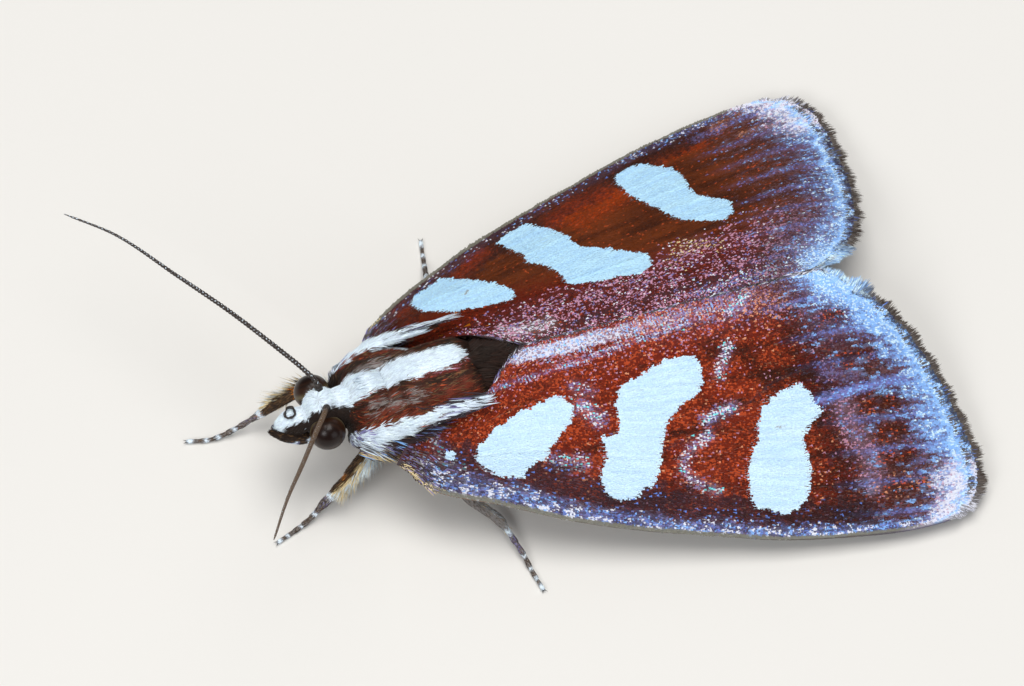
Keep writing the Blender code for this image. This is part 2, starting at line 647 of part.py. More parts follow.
def build():
    """Make every piece, cut the ones that meet clear of each other, and finish them."""
    clear_scene()
    group = bpy.data.collections.new("moth")
    bpy.context.scene.collection.children.link(group)

    thorax = make_thorax()
    head = make_head()
    collar = ellipsoid("collar", COLLAR_CENTRE, COLLAR_HALF, 20, 10, COLLAR_POWER)
    abdomen = make_abdomen()
    tegula = combine(make_tegula(), [swollen(thorax), swollen(collar)], "DIFFERENCE")
    crest = combine(make_crest(), [swollen(thorax)], "DIFFERENCE")

    forewing = vaned("forewing_l", forewing_middle, FORE_ALONG, FORE_ACROSS, fore_vein_weight, MEMBRANE, VEIN)
    forewing = cut_by_plane(forewing, (GAP / 2, 0.0, 0.0), (-1.0, 0.0, 0.0))
    forewing = combine(forewing, [swollen(thorax)], "DIFFERENCE")
    hindwing = vaned("hindwing_l", hindwing_point, HIND_ALONG, HIND_ACROSS, hind_vein_weight,
                     HIND_MEMBRANE, HIND_VEIN)
    hindwing = combine(hindwing, [swollen(thorax)], "DIFFERENCE")

    palp = tube("palp_l", PALP_PATH, PALP_RADII, 10)
    palp = combine(palp, head_clearance(), "DIFFERENCE")

    legs = {
        "foreleg_l": (FORELEG_LEFT, FORELEG_RADII),
        "foreleg_r": (FORELEG_RIGHT, FORELEG_RADII),
        "midleg_l": (MIDLEG_LEFT, MIDLEG_RADII),
        "midleg_r": (MIDLEG_RIGHT, MIDLEG_RADII),
        "hindleg_l": (HINDLEG, HINDLEG_RADII),
        "hindleg_r": ([(-x, y, z) for x, y, z in HINDLEG], HINDLEG_RADII),
    }
    for name, (path, radii) in legs.items():
        leg = tube(name, path, radii, 16)
        cutters = [swollen(thorax)]
        if name.startswith("foreleg"):
            cutters.append(swollen(collar))
        finish(rest_on_floor(combine(leg, cutters, "DIFFERENCE")), name, "leg")
    for name, path in (("antenna_l", ANTENNA_LEFT), ("antenna_r", ANTENNA_RIGHT)):
        radii = [ANTENNA_RADIUS] * (len(path) - 1) + [ANTENNA_TIP]
        feeler = tube(name, path, radii, 22, 1)
        finish(combine(feeler, head_clearance(), "DIFFERENCE"), name, "feeler")
    for side, name in ((1.0, "eye_l"), (-1.0, "eye_r")):
        finish(eye_ball(name, side, EYE_RADIUS, EYE_INNER), name, "eye")

    finish(mirrored(forewing, "forewing_r"), "forewing_r", "wing")
    finish(mirrored(hindwing, "hindwing_r"), "hindwing_r", "hindwing")
    finish(mirrored(tegula, "tegula_r"), "tegula_r", "white fur")
    finish(mirrored(palp, "palp_r"), "palp_r", "dark fur")
    finish(forewing, "forewing_l", "wing")
    finish(hindwing, "hindwing_l", "hindwing")
    finish(tegula, "tegula_l", "white fur")
    finish(palp, "palp_l", "dark fur")
    finish(thorax, "thorax", "fur")
    finish(collar, "collar", "white fur")
    finish(head, "head", "white fur")
    finish(abdomen, "abdomen", "abdomen")
    finish(crest, "crest", "dark fur")


build()
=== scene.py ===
"""Looks of the moth Mimeusemia perakana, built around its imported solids.

The head points to -Y, the insect's left side is at +X and up is +Z. Shapes are worked out in
millimetres and become metres when a piece is finished.
"""
import itertools
import math

import bmesh
import bpy
import numpy as np
from mathutils import Matrix, Vector


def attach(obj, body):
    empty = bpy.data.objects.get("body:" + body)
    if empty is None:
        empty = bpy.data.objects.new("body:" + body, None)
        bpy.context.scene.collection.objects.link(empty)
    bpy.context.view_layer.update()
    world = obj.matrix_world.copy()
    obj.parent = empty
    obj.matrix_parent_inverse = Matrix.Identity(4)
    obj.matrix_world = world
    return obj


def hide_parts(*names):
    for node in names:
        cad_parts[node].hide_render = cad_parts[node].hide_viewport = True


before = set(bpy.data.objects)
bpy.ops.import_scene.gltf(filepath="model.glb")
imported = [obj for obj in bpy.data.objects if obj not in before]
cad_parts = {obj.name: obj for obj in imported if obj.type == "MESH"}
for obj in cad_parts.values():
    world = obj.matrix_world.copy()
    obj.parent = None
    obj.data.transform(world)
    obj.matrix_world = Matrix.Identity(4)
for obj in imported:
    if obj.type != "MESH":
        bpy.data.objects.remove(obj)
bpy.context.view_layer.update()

bl_info = {
    "name": "Moth with scaled wings",
    "version": (1, 0, 0),
    "blender": (4, 5, 0),
    "location": "View3D > Sidebar > Moth",
    "description": "Builds a life-size moth with scale-covered wings and a furred body",
    "category": "Object",
}

MM = 0.001
BODY = "root"

# Roof of the closed forewings, upper face of the solids
RIDGE_HEIGHT = 5.92
RIDGE_FALL = 0.055
ROOF_SLOPE = 0.459
RIDGE_ROUND = 0.7
COSTA_CURL = 0.46
COSTA_CURL_FALL = 0.06
COSTA_CURL_START = 0.62
MARGIN_DROOP = 1.1
MARGIN_DROOP_START = 0.84
ROOT_SINK = 0.85
ROOT_SINK_LENGTH = 0.2
LOWEST_WING = 0.98
LOWEST_SOFTNESS = 0.3
ROOT_TAPER = 0.12
ROOT_TAPER_LENGTH = 0.08

# Edges of the left forewing in plan: root, leading edge, outer edge, inner edge
FORE_EDGES = (
    [(2.0, -9.3), (2.4, -10.6), (3.05, -11.9)],
    [(3.05, -11.9), (4.15, -10.6), (5.1, -9.2), (6.25, -7.0), (7.4, -4.7), (8.6, -1.7), (9.6, 1.3),
     (10.5, 4.0), (11.15, 6.8), (11.6, 9.4), (11.7, 11.2), (11.6, 12.5)],
    [(0.1, 10.0), (0.6, 10.95), (1.5, 12.15), (3.0, 13.25), (5.0, 14.05), (7.0, 14.4), (9.0, 14.5),
     (10.4, 14.2), (11.2, 13.55), (11.6, 12.5)],
    [(2.0, -9.3), (1.95, -8.0), (1.6, -7.0), (1.08, -6.2), (0.45, -5.35), (0.1, -4.4), (0.1, 10.0)],
)
FORE_VEINS = (3, 6, 8, 10, 12, 14, 16, 18)
FORE_STEMS = (3, 8, 14, 18)
FORE_LINES = 20
FORE_LENGTH = 24.0
CELL_END = 0.5
MEMBRANE_END = 0.972
COSTA_SLANT = 0.88
ROW_PERIOD = 0.148

# Hindwing in plan, folded under the forewing
HIND_LENGTH = 17.0
HIND_BELOW = 1.3
HIND_ROOT_SINK = 0.6
HIND_SINK_LENGTH = 0.3
HIND_EDGES = (
    [(1.9, -6.9), (2.1, -7.8), (2.5, -8.7)],
    [(2.5, -8.7), (3.7, -7.2), (4.95, -4.6), (6.3, -1.0), (7.3, 2.8), (7.9, 6.0), (8.0, 8.0)],
    [(0.5, 7.6), (2.0, 8.9), (4.2, 9.6), (6.3, 9.5), (7.5, 8.9), (8.0, 8.0)],
    [(1.9, -6.9), (1.6, -5.0), (1.35, -2.4), (0.9, 1.4), (0.6, 4.8), (0.5, 7.6)],
)

# White spots of the forewing, as a few points of each outline in plan
SPOTS_LEFT = (
    [(2.57, -4.03), (2.98, -3.58), (3.69, -3.86), (4.19, -4.69), (4.75, -5.3), (4.99, -6.38),
     (5.22, -6.68), (4.9, -7.44), (4.29, -8.27), (3.76, -8.33), (3.41, -7.71), (3.12, -7.02),
     (2.88, -6.01), (2.67, -4.93)],
    [(2.21, 1.64), (2.46, 2.56), (3.22, 2.62), (3.74, 2.3), (4.27, 1.27), (4.89, 0.29), (5.95, -0.33),
     (6.77, -0.74), (7.07, -1.48), (7.18, -2.2), (6.94, -2.88), (6.56, -3.2), (5.89, -3.13),
     (5.45, -2.68), (4.65, -2.72), (4.68, -1.9), (3.88, -1.77), (3.16, -1.5), (2.8, -1.04), (2.5, 0.26)],
    [(4.6, 6.6), (5.08, 7.25), (5.5, 7.23), (5.91, 7.45), (6.24, 7.03), (6.69, 6.33), (7.52, 6.19),
     (8.52, 6.04), (9.26, 5.51), (9.54, 4.5), (9.24, 3.83), (8.82, 3.19), (8.18, 3.24), (7.15, 3.57),
     (6.14, 4.31), (5.11, 4.86), (4.86, 5.54)],
    [(3.3, -9.62), (3.32, -9.36), (3.5, -9.26), (3.64, -9.42), (3.58, -9.66), (3.44, -9.72)],
)
SPOTS_RIGHT = (
    [(2.8, -4.2), (3.2, -3.95), (3.7, -4.2), (4.3, -4.8), (4.8, -5.4), (5.2, -5.8), (5.72, -6.35),
     (5.65, -6.75), (5.4, -7.3), (5.1, -7.9), (4.7, -8.3), (4.2, -8.4), (3.6, -8.1), (3.1, -7.2),
     (2.88, -6.3), (2.75, -5.2)],
    [(2.9, -1.6), (2.6, -0.5), (2.45, 0.8), (2.35, 1.7), (2.65, 2.4), (3.2, 2.62), (3.55, 2.4), (4.2, 1.5),
     (4.8, 0.5), (5.2, 0.0), (5.8, -0.2), (6.5, -0.5), (7.2, -0.9), (7.8, -1.5), (7.75, -2.2), (7.4, -2.8),
     (7.1, -3.2), (6.5, -3.0), (5.8, -2.75), (5.1, -2.62), (4.75, -2.55), (4.6, -2.15), (4.4, -1.9),
     (3.9, -1.75), (3.4, -1.6)],
    [(4.5, 6.3), (4.5, 6.85), (4.75, 7.15), (5.3, 7.5), (5.9, 7.25), (6.3, 6.6), (6.8, 6.25), (7.5, 6.25),
     (8.4, 6.2), (8.8, 6.05), (9.3, 5.5), (9.75, 4.9), (9.72, 4.3), (9.4, 3.5), (9.0, 3.3), (8.4, 3.4),
     (7.5, 3.6), (6.8, 4.0), (6.0, 4.4), (5.3, 4.8), (4.9, 5.4)],
)

# Strokes on the ground: colour, amount, grain, half width, points in plan; then pale flecks and patches
STROKES_LEFT = (
    ("umber", 0.6, 0.4, 0.5, [(2.3, 3.4), (2.7, 4.6), (4.3, 5.6)]),
    ("umber", 0.5, 0.4, 0.35, [(6.7, -3.3), (7.4, -2.0), (7.6, 0.4)]),
    ("umber", 0.6, 0.4, 0.18, [(4.7, 4.0), (5.3, 1.4), (4.9, -4.0)]),
    ("umber", 0.5, 0.3, 0.12, [(2.0, 2.9), (1.7, 4.4), (1.3, 6.4)]),
    ("umber", 0.7, 0.3, 0.3, [(4.0, 5.2), (4.05, 6.6), (4.6, 7.9), (5.4, 8.1), (6.0, 8.0)]),
    ("slate", 0.45, 0.4, 0.07, [(5.3, 2.4), (5.0, 3.9), (4.6, 4.8), (4.2, 6.0), (4.1, 7.4)]),
    ("slate", 0.4, 0.3, 0.09, [(5.8, -0.2), (5.6, 1.4), (5.4, 3.0)]),
    ("dusk", 0.8, 0.4, 0.55, [(6.0, 8.5), (7.2, 8.7), (8.4, 9.0), (9.2, 8.8)]),
    ("lilac", 0.2, 0.7, 0.5, [(6.0, 8.5), (7.2, 8.7), (8.4, 9.0), (9.2, 8.8)]),
    ("rose", 0.26, 0.75, 0.6, [(6.0, 8.5), (7.2, 8.7), (8.4, 9.0), (9.2, 8.8)]),
    ("lilac", 0.5, 0.5, 0.3, [(4.4, 8.1), (4.7, 9.0), (4.9, 9.6)]),
    ("peach", 0.16, 0.85, 0.7, [(0.5, 0.6), (0.7, 3.0), (0.9, 6.4)]),
    ("peach", 0.22, 0.85, 0.4, [(0.7, 6.4), (1.0, 7.4)]),
    ("peach", 0.12, 0.85, 0.5, [(9.6, 9.4), (9.9, 11.2)]),
)
STROKES_RIGHT = (
    ("rust", 0.75, 0.3, 0.42, [(5.6, -5.6), (6.2, -4.9), (6.7, -4.1)]),
    ("rust", 0.6, 0.3, 0.55, [(7.5, -0.4), (8.2, 1.0), (8.5, 2.6)]),
    ("rust", 0.3, 0.3, 0.6, [(6.8, 0.6), (7.4, 2.2), (7.9, 3.2)]),
    ("rust", 0.55, 0.35, 0.36, [(4.0, -9.1), (4.5, -8.6)]),
    ("rust", 0.3, 0.35, 0.35, [(9.6, 5.5), (9.9, 8.0)]),
    ("umber", 0.5, 0.3, 0.4, [(5.2, 2.4), (5.4, 3.6)]),
    # painted glints: a streak of white scales near the ridge standing for highlights
    ("glint", 0.4, 0.7, 0.36, [(1.0, -5.3), (0.75, -4.4), (0.8, -3.3)]),
    ("slate", 0.5, 0.4, 0.16, [(0.4, -2.9), (0.6, -0.2), (0.8, 2.9), (1.0, 7.7)]),
    ("azure", 0.2, 0.7, 0.26, [(0.3, 3.6), (0.45, 5.8), (0.6, 7.8)]),
    ("ice", 0.16, 0.9, 0.3, [(0.35, 4.0), (0.5, 6.0), (0.6, 7.8)]),
    ("cream", 0.16, 0.85, 0.4, [(2.7, 3.5), (3.4, 4.6), (3.0, 5.6)]),
    ("peach", 0.4, 0.6, 0.2, [(9.9, 9.9), (10.0, 11.7)]),
    ("lilac", 0.5, 0.7, 0.2, [(10.4, 7.6), (10.5, 9.0)]),
    ("peach", 0.4, 0.6, 0.2, [(10.8, 8.9), (11.2, 10.6)]),
)
FLECKS_LEFT = (
    (0.8, 0.28, [(3.2, -3.2), (3.9, -2.6)]), (0.7, 0.22, [(5.0, -5.1), (5.3, -4.3), (5.4, -3.8)]),
    (0.5, 0.2, [(2.3, -3.3), (2.7, -2.6)]), (0.8, 0.17, [(3.4, 3.3), (2.8, 3.8), (2.35, 4.15)]),
    (0.7, 0.16, [(5.05, 2.1), (4.9, 2.8), (4.85, 3.4)]), (0.7, 0.16, [(4.8, 3.6), (5.0, 2.4)]),
    (0.8, 0.17, [(5.7, 2.1), (6.1, 1.0), (6.7, 0.5), (7.3, 0.9), (7.9, 1.7)]),
    (0.8, 0.22, [(0.9, 4.7), (0.7, 5.2), (0.4, 5.7)]),
    (0.6, 0.22, [(2.5, -10.0), (3.2, -9.9), (4.2, -9.1), (4.9, -8.4)]),
)
DARK_PATCHES = ((2.1, 9.0, 9.8), (4.0, 9.3, 10.5), (6.2, 9.5, 11.0), (7.4, 9.8, 10.9), (8.5, 9.6, 11.0),
                (9.8, 9.0, 11.2))

# Body, the same centres and half sizes as the solids
THORAX_CENTRE = (0.0, -8.84, 4.2)
THORAX_HALF = (2.15, 3.18, 2.65)
THORAX_LONG_POWER = 3.5
THORAX_CROSS_POWER = 2.2
THORAX_BACK_DROP = 1.35
THORAX_BACK_FROM = -8.0
THORAX_BACK_TO = -5.9
COLLAR_CENTRE = (0.0, -12.68, 5.0)
COLLAR_HALF = (1.5, 0.6, 1.75)
TEGULA_PATH = [(1.66, -13.25, 4.95), (1.96, -12.2, 5.55), (2.16, -11.0, 6.0), (2.12, -9.6, 6.24),
               (2.04, -8.2, 6.24)]
TEGULA_WIDTH = 0.52
TEGULA_THICK = 0.2
CREST_CENTRE = (0.0, -6.75, 6.2)
CREST_HALF = (0.5, 0.75, 0.45)
ABDOMEN_AXIS = [(-5.27, 3.15), (-4.0, 2.5), (-2.0, 1.95), (0.0, 1.62), (2.5, 1.52), (5.0, 1.45),
                (8.4, 1.45)]
ABDOMEN_GIRTH = [(-5.27, 1.25), (-4.0, 1.6), (-2.0, 1.74), (0.0, 1.72), (2.5, 1.62), (5.0, 1.36),
                 (8.4, 0.45)]
ABDOMEN_RINGS = 7
SKULL_CENTRE = (0.0, -14.2, 5.3)
SKULL_HALF = (1.0, 0.9, 1.33)
FRONS_CENTRE = (0.0, -15.2, 5.1)
FRONS_HALF = (0.64, 1.18, 0.86)
FRONS_RING_CENTRE = (-0.05, -15.65, 5.92)
FRONS_RING_TILT = 0.45
FRONS_RING_RADIUS = 0.24
FRONS_RING_THICK = 0.045
EYE_CENTRE = (1.1, -14.25, 5.3)
EYE_RADIUS = 0.8
PALP_PATH = [(0.4, -14.4, 4.0), (0.46, -15.2, 4.3), (0.4, -15.9, 4.72), (0.2, -16.5, 5.02)]
PALP_PATH_RIGHT = [(0.36, -14.4, 4.0), (0.4, -15.1, 4.2), (0.34, -15.75, 4.5), (0.16, -16.25, 4.8)]

# White stripe of head and back: middle and half width along the body
STRIPE_MIDDLE = [(-17.0, -0.1), (-15.5, -0.14), (-14.6, -0.12), (-12.8, -0.06), (-11.6, -0.36),
                 (-11.0, -0.28), (-7.4, -0.32)]
STRIPE_HALF = [(-17.0, 0.5), (-15.5, 0.5), (-14.65, 0.54), (-14.0, 0.54), (-12.9, 0.66), (-12.2, 0.6),
               (-11.6, 0.56), (-11.0, 0.58), (-10.2, 0.62), (-9.0, 0.64), (-8.2, 0.58), (-7.8, 0.42),
               (-7.55, 0.2), (-7.45, -0.1)]

# White of the shoulder flaps: middle and half width in plan, and its lowest height
FLAP_MIDDLE_LEFT = [(-13.7, 1.5), (-13.2, 1.75), (-12.6, 2.2), (-11.75, 2.35), (-11.2, 2.36),
                    (-10.2, 2.3), (-8.6, 2.1)]
FLAP_HALF_LEFT = [(-13.7, 0.36), (-12.6, 0.42), (-11.75, 0.4), (-11.2, 0.32), (-10.85, 0.19), (-9.5, 0.18),
                  (-8.6, 0.12), (-7.9, -0.1)]
FLAP_MIDDLE_RIGHT = [(-13.5, 1.75), (-12.3, 2.14), (-11.45, 2.2), (-10.6, 2.02), (-9.96, 1.92), (-8.4, 1.85)]
FLAP_HALF_RIGHT = [(-13.5, 0.25), (-12.3, 0.34), (-11.45, 0.32), (-10.6, 0.34), (-9.96, 0.3), (-9.2, 0.22),
                   (-8.4, 0.1), (-7.9, -0.1)]
FLAP_LOWEST = [(-13.7, 4.3), (-13.0, 4.6), (-12.2, 5.0), (-11.2, 5.5), (-10.0, 5.8)]

# Feelers and legs, along the middles of their solids
FEELERS = {
    "antenna_l": [(0.42, -14.1, 6.2), (0.72, -14.25, 6.8), (1.3, -14.6, 7.3), (2.35, -15.3, 8.15),
                  (4.95, -16.95, 10.4), (7.6, -18.65, 12.75), (10.4, -20.3, 14.9)],
    "antenna_r": [(-0.42, -14.1, 6.2), (-0.72, -14.22, 6.78), (-1.3, -14.55, 7.0), (-2.15, -14.97, 6.97),
                  (-5.2, -16.6, 6.8), (-8.0, -18.3, 6.6), (-10.85, -20.05, 6.35), (-12.65, -21.95, 6.4)],
}
FOOT = 0.15
FOOT_START = 0.66
LEGS = {
    "foreleg_l": [(0.8, -11.6, 3.4), (1.4, -12.35, 2.85), (1.7, -13.1, 2.2), (2.0, -14.05, 1.4),
                  (2.2, -14.75, 0.85), (2.42, -15.35, 0.4), (2.65, -16.1, FOOT), (2.97, -17.03, FOOT)],
    "foreleg_r": [(-0.8, -11.7, 3.3), (-1.7, -12.9, 3.1), (-2.5, -13.75, 3.0), (-2.78, -15.0, 2.15),
                  (-3.0, -16.15, 0.9), (-2.95, -17.2, 0.4), (-2.95, -18.2, FOOT), (-3.17, -19.2, FOOT)],
    "midleg_l": [(0.9, -9.6, 2.6), (2.2, -9.35, 2.3), (3.6, -9.05, 2.2), (4.35, -8.6, 1.7),
                 (5.4, -7.5, 0.85), (6.95, -6.97, 0.4), (8.0, -6.8, FOOT), (8.92, -6.66, FOOT)],
    "midleg_r": [(-0.9, -9.0, 2.6), (-2.3, -8.3, 2.2), (-4.3, -7.4, 2.05), (-5.6, -6.95, 1.6),
                 (-7.0, -6.4, 1.0), (-7.9, -6.15, 0.55), (-8.85, -5.9, FOOT), (-9.78, -5.69, FOOT)],
    "hindleg_l": [(0.9, -7.2, 2.3), (2.2, -6.6, 2.15), (3.6, -5.6, 2.0), (4.1, -4.0, 1.5),
                  (4.55, -1.7, 0.85), (4.85, 0.3, 0.4), (5.05, 1.9, FOOT), (5.2, 3.3, FOOT)],
}
LEGS["hindleg_r"] = [(-x, y, z) for x, y, z in LEGS["hindleg_l"]]

# Radii along a limb: shares of its length, then the radius at each; a feeler's are shares of its own
LEG_RADII = ((0.0, 0.16, 0.3, 0.36, 0.42, 0.6, 0.64, 0.68, 1.0),
             (0.34, 0.34, 0.3, 0.2, 0.21, 0.2, 0.13, 0.125, 0.075))
PALP_RADII = ((0.0, 0.08, 0.35, 0.7, 0.92, 1.0), (0.2, 0.24, 0.28, 0.26, 0.14, 0.05))
FEELER_RADII = ((0.0, 0.028, 0.034, 0.06, 0.5, 0.97, 1.0), (1.5, 1.6, 1.1, 1.0, 0.84, 0.42, 0.12))
FEELER_JOINTS = 84
FOOT_JOINTS = 5.0
LEG_RINGS = 110
PALP_RINGS = 40

# Claws and spurs by kind of leg: place along it, hand, length, radius and how far it stands off
SPIKE_PLACES = 200
CLAWS = ((199, 1.0, 0.26, 0.035, 0.5), (199, -1.0, 0.26, 0.035, 0.5))
SHIN_SPURS = ((124, 1.0, 0.55, 0.05, 0.45), (124, -1.0, 0.5, 0.05, 0.45))
SPIKES = {"fore": CLAWS, "mid": CLAWS + SHIN_SPURS,
          "hind": CLAWS + SHIN_SPURS + ((96, 1.0, 0.5, 0.05, 0.45), (96, -1.0, 0.45, 0.05, 0.45))}

# White marks of the legs, as shares of their length
LEG_MARKS = {"foreleg_l": (0.53, 0.69, 0.81, 0.92), "foreleg_r": (0.6, 0.755, 0.845, 0.905),
             "midleg_l": (0.667, 0.803, 0.874, 0.934)}
USUAL_LEG_MARKS = (0.62, 0.76, 0.85, 0.92)

# Closed shapes of single scales and hairs: corners as (across, along, up), then faces
SCALE = ([(0, 0, 0), (-0.5, 1, 0), (0.5, 1, 0), (0, 0.8, 1)],
         [(0, 3, 1), (0, 2, 3), (1, 3, 2), (0, 1, 2)])
HAIR = ([(0, 0, 0), (-0.5, 0.45, 0), (0.5, 0.45, 0), (0, 0.45, 0.6), (0, 1, 0)],
        [(0, 1, 2), (0, 3, 1), (0, 2, 3), (1, 4, 2), (1, 3, 4), (2, 4, 3)])
LONG_HAIR = ([(0, 0, 0), (-0.42, 0.3, 0), (0.42, 0.3, 0), (0, 0.3, 0.5),
              (-0.5, 0.7, 0), (0.5, 0.7, 0), (0, 0.7, 0.55), (0, 1, 0)],
             [(0, 1, 2), (0, 3, 1), (0, 2, 3), (1, 4, 5), (1, 5, 2), (1, 3, 6), (1, 6, 4),
              (2, 5, 6), (2, 6, 3), (4, 7, 5), (4, 6, 7), (5, 7, 6)])
PATCH = 0.003
UNWRAP_SHARE = 0.98
UNWRAP_START = 0.01
UNWRAP_TURN = 6.4
MOST_TRIANGLES = 199000

# Number of hairs in each tuft, those of one side where there are two
FRINGE_HAIRS = 4600
RIDGE_HAIRS = 2600
ROOT_BLADES = 360
CREST_HAIRS = 1700
CREST_UPRIGHT = 700
SHOULDER_HAIRS = 2300
FLAP_HAIRS = 420
ABDOMEN_HAIRS = 900
PALP_HAIRS = 1500
LEG_HAIRS = 6500

# Fur: count, seed, lowest and highest y and z, tangle, length and width as shares, lift and finish
FUR = {
    "thorax_fur": (30000, 401, (-13.1, -5.6), (3.4, math.inf), 0.26, 1.0, 1.0, 0.2, "brown_fur"),
    "breast_fur": (5000, 411, (-13.1, -5.2), (-math.inf, 3.6), 0.4, 1.15, 1.3, 0.16, "brown_fur"),
    "head_fur": (9000, 421, (-math.inf, -13.0), (-math.inf, math.inf), 0.22, 0.6, 1.0, 0.22, "white_fur"),
    "abdomen_fur": (13000, 431, (-5.6, math.inf), (-math.inf, math.inf), 0.14, 0.75, 1.7, 0.1,
                    "abdomen_fur"),
}

# Rounded forms that the body's skin grows from, beside thorax, flaps and abdomen: centre, half sizes,
# how much less than these, and fullness. The last five fill the neck, the shoulders and the waist.
BODY_FORMS = (
    (COLLAR_CENTRE, COLLAR_HALF, (0.2, 0.0, 0.2), 2.0),
    (CREST_CENTRE, CREST_HALF, (0.15, 0.15, 0.15), 2.0),
    (SKULL_CENTRE, SKULL_HALF, (0.1, 0.1, 0.1), 2.3),
    (FRONS_CENTRE, FRONS_HALF, (0.1, 0.1, 0.1), 2.0),
    ((0.0, -13.4, 5.2), (0.8, 0.9, 1.22), (0.0, 0.0, 0.0), 2.0),
    ((0.0, -12.1, 4.9), (1.6, 1.2, 1.56), (0.0, 0.0, 0.0), 2.0),
    ((1.3, -11.2, 4.75), (1.0, 2.1, 1.3), (0.0, 0.0, 0.0), 2.0),
    ((-1.3, -11.2, 4.75), (1.0, 2.1, 1.3), (0.0, 0.0, 0.0), 2.0),
    ((0.0, -5.2, 3.3), (1.1, 1.3, 1.2), (0.0, 0.0, 0.0), 2.0),
)
BODY_VOXEL = 0.085
BODY_SMOOTHING = 2

# Studio: place, target, size, power and colour of each lamp, and the camera as it stood for the photo
FLOOR_HALF = 900.0
LAMPS = {
    "key": ((-0.02, 0.0, 0.62), (0.0, 0.0, 0.0), 0.42, 3.2, (1.0, 0.985, 0.96)),
    "front": ((0.26, -0.34, 0.4), (0.0, -0.002, 0.0), 0.24, 1.15, (1.0, 1.0, 1.0)),
    "side": ((0.42, 0.22, 0.22), (0.0, 0.0, 0.0), 0.3, 0.4, (0.9, 0.95, 1.0)),
}
WORLD_COLOUR = (0.92, 0.95, 1.0, 1.0)
WORLD_STRENGTH = 0.2
PHOTO_WIDTH = 1024.0
PHOTO_FOCAL = 6540.0
SENSOR_WIDTH = 36.0
CAMERA_PLACE = (0.1340685, -0.0706335, 0.255439)
CAMERA_TURN = ((0.34555568, -0.81677132, 0.4620345), (0.93648467, 0.26872693, -0.22534928),
               (0.05989772, 0.51055895, 0.85775394))

WINGS = ((False, "l"), (True, "r"))
SIDES = ((1.0, "l"), (-1.0, "r"))


def paint(red, green, blue):
    """A colour given in the usual 0 to 255 steps, as the linear values that shaders use."""
    shares = [part / 255.0 for part in (red, green, blue)]
    return tuple(part / 12.92 if part <= 0.04045 else ((part + 0.055) / 1.055) ** 2.4 for part in shares)


# Settings that a user may change: lengths in millimetres, and colours in the usual 0 to 255 steps
LENGTHS = {
    "scale_length": ("Length of a wing scale", 0.2),
    "scale_width": ("Width of a wing scale", 0.098),
    "scale_step": ("Distance between rows of wing scales", 0.078),
    "under_step": ("Distance between rows of scales under the wings", 0.2),
    "membrane": ("Thickness of the wing membrane with its veins", 0.1),
    "fringe": ("Length of the fringe on the outer edge", 0.95),
    "fur_length": ("Length of the hairs on the back", 0.58),
    "fur_width": ("Width of the hairs on the back", 0.056),
    "feeler_radius": ("Radius of a feeler near its root", 0.115),
}
PAINTS = {
    "maroon": ("Dark red ground of the left forewing", (94, 20, 5)),
    "chocolate": ("Brown ground of the right forewing", (100, 46, 16)),
    "umber": ("Darkest brown of the forewings", (43, 18, 7)),
    "rim": ("Grey-olive of the leading edge", (122, 120, 108)),
    "rust": ("Orange patches of the right forewing", (186, 62, 6)),
    "ember": ("Orange scales strewn over the red ground", (202, 84, 42)),
    "rose": ("Pink dusting", (200, 146, 172)),
    "lilac": ("Violet-grey scales", (128, 122, 180)),
    "dusk": ("Violet-brown veil of the outer wing", (106, 76, 80)),
    "azure": ("Clear blue scales of the outer wing", (104, 138, 224)),
    "peach": ("Palest of the orange scales", (236, 160, 120)),
    "sky": ("Pale blue scales", (140, 190, 252)),
    # Painted glints: single blue-green scales standing for highlights of light on the scales
    "cyan": ("Single blue-green glints", (120, 226, 232)),
    "ice": ("White of the spots", (216, 241, 253)),
    # Single white scales: the white of the tip and of the apex fringe, and, strewn over the dusting, the
    # ridge, the leading edge and the ridge hair, painted glints: highlights of light on single scales painted
    # into their colour
    "glint": ("Single pale scales of the dusting", (232, 234, 246)),
    "slate": ("Dark grey band along the leading edge", (50, 44, 54)),
    "ash": ("Grey-brown of the fringe", (80, 72, 66)),
    "snow": ("White hair of head and back", (226, 240, 252)),
    "bark": ("Red-brown hair of the back", (122, 46, 26)),
    "wine": ("Pink-red hair beside the end of the stripe", (132, 48, 50)),
    "soot": ("Black-brown hair", (36, 23, 16)),
    "smoke": ("Grey hair tufts", (146, 142, 140)),
    "tan": ("Brown of the left feeler", (112, 84, 54)),
    "cream": ("Pale yellow hair of the legs", (236, 214, 160)),
    "orange": ("Yellow-orange of hindwings and abdomen", (222, 132, 34)),
    "eye": ("Brown of the eyes", (44, 25, 15)),
    "floor": ("Pale floor", (226, 224, 220)),
}


def label(name):
    """The words that the panel shows for a setting."""
    return name.replace("_", " ").capitalize()


def colour_property(name, description, steps):
    """A colour that a user may change."""
    return bpy.props.FloatVectorProperty(name=label(name), description=description, subtype="COLOR", size=3,
                                         min=0.0, max=1.0, default=paint(*steps))


def length_property(name, description, default):
    """A length that a user may change."""
    return bpy.props.FloatProperty(name=label(name), description=description, default=default * MM, min=0.0,
                                   precision=5, subtype="DISTANCE", unit="LENGTH")


class MothSizes(bpy.types.PropertyGroup):
    """Sizes of the coat and of the fine parts."""

    __annotations__ = {name: length_property(name, *row) for name, row in LENGTHS.items()}


class MothColours(bpy.types.PropertyGroup):
    """Colours of scales, hairs and skin."""

    __annotations__ = {name: colour_property(name, *row) for name, row in PAINTS.items()}


def sizes():
    """The sizes that are set, in millimetres."""
    group = bpy.context.scene.moth_sizes
    return {name: getattr(group, name) / MM for name in MothSizes.__annotations__}


def tone(colour):
    """A colour that is set, as an array, from its name or from its name and how bright it is."""
    name, share = (colour, 1.0) if isinstance(colour, str) else colour
    return np.array(getattr(bpy.context.scene.moth_colours, name)) * share


# Curves, noise and colour mixing on arrays

